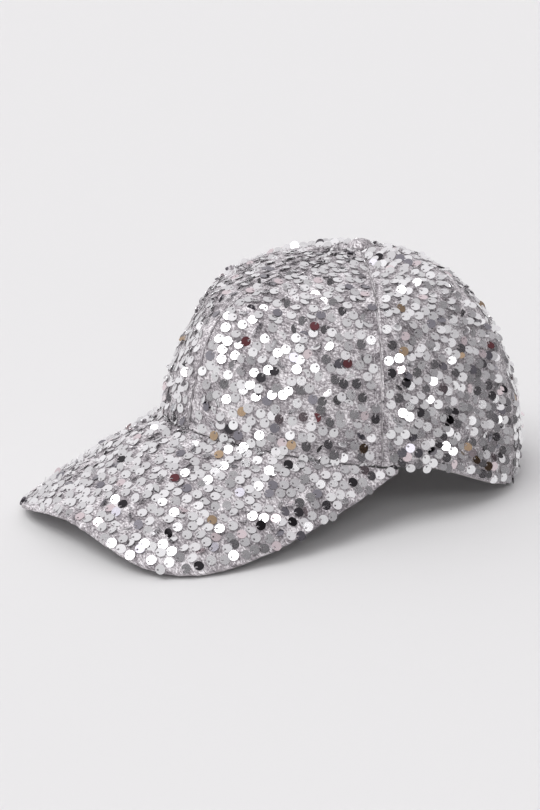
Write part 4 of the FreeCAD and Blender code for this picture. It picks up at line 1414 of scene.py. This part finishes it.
for seed, (name, hang) in enumerate(HANGS.items()):
    outer, flat = guides[name]
    row_turn = math.radians(ROW_TURNS.get(name, 0))
    ahead = np.array((math.cos(row_turn), math.sin(row_turn)))
    flat = np.stack([flat @ ahead, flat @ np.array((-ahead[1], ahead[0]))], -1)
    guide = cloth_mesh(name + "_guide", outer, flat)
    low, high = flat.reshape(-1, 2).min(0), flat.reshape(-1, 2).max(0)
    columns, rows_up = (int(n) for n in (high - low) / (COLUMN_GAP, ROW_GAP) + 3)
    values = {
        "Shape": sequin, "Finish": film, "Centre": (*((low + high) / 2), 0.0),
        "Width": (columns - 1) * COLUMN_GAP, "Height": (rows_up - 1) * ROW_GAP,
        "Columns": columns, "Rows": rows_up, "Stagger": COLUMN_GAP / 2, "Row Gap": ROW_GAP,
        "Out Of Step": OUT_OF_STEP,
        "Out Of Line": (0.8 if name in SLOPES else 1.5) * MM, "Hang": tuple(hang),
        "Slope": math.radians(SLOPES.get(name, USUAL_SLOPE)),
        "Slope Spread": SLOPE_SPREAD, "Roll Spread": ROLL_SPREAD,
        "Wild": 0.0 if name == "button" else WILD, "Turn": TURN, "Lift": LIFT,
        "Lift Spread": LIFT_SPREAD, "Lowest": CLEAR_OF_FLOOR, "Seed": 100 + 20 * seed,
    }
    label_name = name.replace("crown_panel_", "")
    mesh = run_tree(sewn_rows, guide, "sequins_" + label_name, values)
    total += len(mesh.polygons) // len(sequin.data.polygons)
    piece("sequins_" + label_name, mesh, film)
    tacks = {**values, "Shape": tack, "Finish": thread, "Slope Spread": 0.0, "Roll Spread": 0.0,
             "Wild": 0.0, "Slope": 0.0, "Lift Spread": 0.0}
    mesh = run_tree(sewn_rows, guide, "tacks_" + label_name, tacks)
    piece("tacks_" + label_name, mesh, thread)
print(total, "sequins")

# %% [markdown]
# ## Floor, light and camera
# The cap stands on a plain pale floor. Two wide suns shape the crown: one from above and in
# front, and a weak one from its front left. The world round it is a patchwork of pale and dark
# tones, darker behind the cap's left and more even high up behind its right. The mirrors need
# the dark patches, because a sequin only sparkles if its neighbour reflects something dark.

# %% Floor
FLOOR_SIZE = 30.0
floor_mesh = bpy.data.meshes.new("floor")
half = FLOOR_SIZE / 2
floor_mesh.from_pydata([(-half, -half, 0), (half, -half, 0), (half, half, 0), (-half, half, 0)],
                       [], [(0, 1, 2, 3)])
floor = bpy.data.objects.new("floor", floor_mesh)
scene.collection.objects.link(floor)
paper, paper_tree, paper_shader = finish("matt_paper", Roughness=0.95,
                                         Base_Color=linear("#dfdfdf"))
floor_mesh.materials.append(paper)
floor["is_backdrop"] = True
print("floor", FLOOR_SIZE, "m wide")

# %% Studio world
DARK_SIDE = tuple(bearing(math.radians(136), math.radians(8)))
CALM_SIDE = tuple(bearing(math.radians(235), math.radians(50)))
CALM_TONE = 0.53
WORLD_STRENGTH = 1.3
world = bpy.data.worlds.new("studio")
world.use_nodes = True
scene.world = world
sky = world.node_tree
place = add(sky, "ShaderNodeTexCoord")
patchwork = add(sky, "ShaderNodeTexNoise", {"Vector": place.outputs["Generated"], "Scale": 6.0,
                                            "Detail": 1.5, "Distortion": 0.6})
dark_side = add(sky, "ShaderNodeVectorMath", {0: place.outputs["Generated"], 1: DARK_SIDE},
                operation="DOT_PRODUCT")
shade = add(sky, "ShaderNodeMapRange", {"Value": dark_side.outputs["Value"], "From Min": 0.1,
                                        "From Max": 0.85, "To Min": 0.0, "To Max": -0.15})
calm_side = add(sky, "ShaderNodeVectorMath", {0: place.outputs["Generated"], 1: CALM_SIDE},
                operation="DOT_PRODUCT")
evenness = add(sky, "ShaderNodeMapRange", {"Value": calm_side.outputs["Value"], "From Min": 0.1,
                                           "From Max": 0.8, "To Min": 0.0, "To Max": 0.75})
calmed = add(sky, "ShaderNodeMix", {"Factor": evenness.outputs[0], "A": patchwork.outputs["Fac"],
                                    "B": CALM_TONE}, data_type="FLOAT")
shaded = add(sky, "ShaderNodeMath", {0: calmed.outputs[0], 1: shade.outputs[0]},
             operation="ADD")
patch_tone = add(sky, "ShaderNodeValToRGB", {"Fac": shaded.outputs[0]}, stops=[
    (0.0, "#120f14"), (0.35, "#2a262a"), (0.385, "#9a979a"), (0.44, "#cfcdcf"),
    (0.57, "#dfdddf"), (0.635, "#ffffff"),
])
background = sky.nodes["Background"]
sky.links.new(patch_tone.outputs["Color"], background.inputs["Color"])
background.inputs["Strength"].default_value = WORLD_STRENGTH
print("the studio world has", len(sky.nodes), "nodes")


# %% Soft suns
def soft_sun(name, azimuth, elevation, width, power):
    """A distant soft light on a bearing, as wide as a soft box looks from the cap."""
    lamp = bpy.data.lights.new(name, "SUN")
    lamp.angle, lamp.energy = math.radians(width), power
    made = bpy.data.objects.new(name, lamp)
    scene.collection.objects.link(made)
    way = bearing(math.radians(azimuth), math.radians(elevation))
    made.rotation_mode = "QUATERNION"
    made.rotation_quaternion = way.to_track_quat("Z", "Y")
    return made


suns = [soft_sun("key_light", 0, 62, 36, 1.2), soft_sun("front_light", 60, 42, 18, 0.35)]
print("suns:", [sun.name for sun in suns])

# %% Camera
VIEW_AZIMUTH, VIEW_ELEVATION = math.radians(45.232), math.radians(20.294)
VIEW_DISTANCE = 828.2 * MM
AIM_DOWN, AIM_FORWARDS = 68.8 * MM, 25.3 * MM
AIM = WASHER - UP * AIM_DOWN - BACK * AIM_FORWARDS
FOCAL, SENSOR = 73.0, 36.0
YAW, PITCH = math.radians(1.889), math.radians(0.275)
back_axis = bearing(VIEW_AZIMUTH, VIEW_ELEVATION)
right_axis = RIGHT * math.cos(VIEW_AZIMUTH) + BACK * math.sin(VIEW_AZIMUTH)
up_axis = back_axis.cross(right_axis)
camera = bpy.data.objects.new("camera", bpy.data.cameras.new("camera"))
scene.collection.objects.link(camera)
camera.data.sensor_width, camera.data.lens = SENSOR, FOCAL
camera.data.clip_start = 0.01
axes = Matrix((right_axis, up_axis, back_axis)).transposed()
camera.rotation_mode = "QUATERNION"
aimed = axes @ Matrix.Rotation(YAW, 3, "Y") @ Matrix.Rotation(-PITCH, 3, "X")
camera.rotation_quaternion = aimed.to_quaternion()
camera.location = AIM + back_axis * VIEW_DISTANCE
scene.camera = camera
scene.view_settings.view_transform = "Standard"
print("camera at", [round(v, 4) for v in camera.location])

# %% [markdown]
# ## Finish
# The stiff nodes of the frame get their metals and their plastic, and the bounds of the finished cap
# are measured.

# %% Finishes on the frame's own parts
OWN_FINISHES = {"buckle_frame": chrome, "buckle_lever": chrome, "buckle_pin": chrome,
                "button_shell": tinned, "button_washer": tinned, "visor_board": board}
for name, own in OWN_FINISHES.items():
    nodes[name].data.materials.clear()
    nodes[name].data.materials.append(own)
print(len(OWN_FINISHES), "nodes of the frame have their finish")

# %% Sizes
for pattern in (sequin, tack, stitch):
    bpy.data.objects.remove(pattern)
low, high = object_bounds()
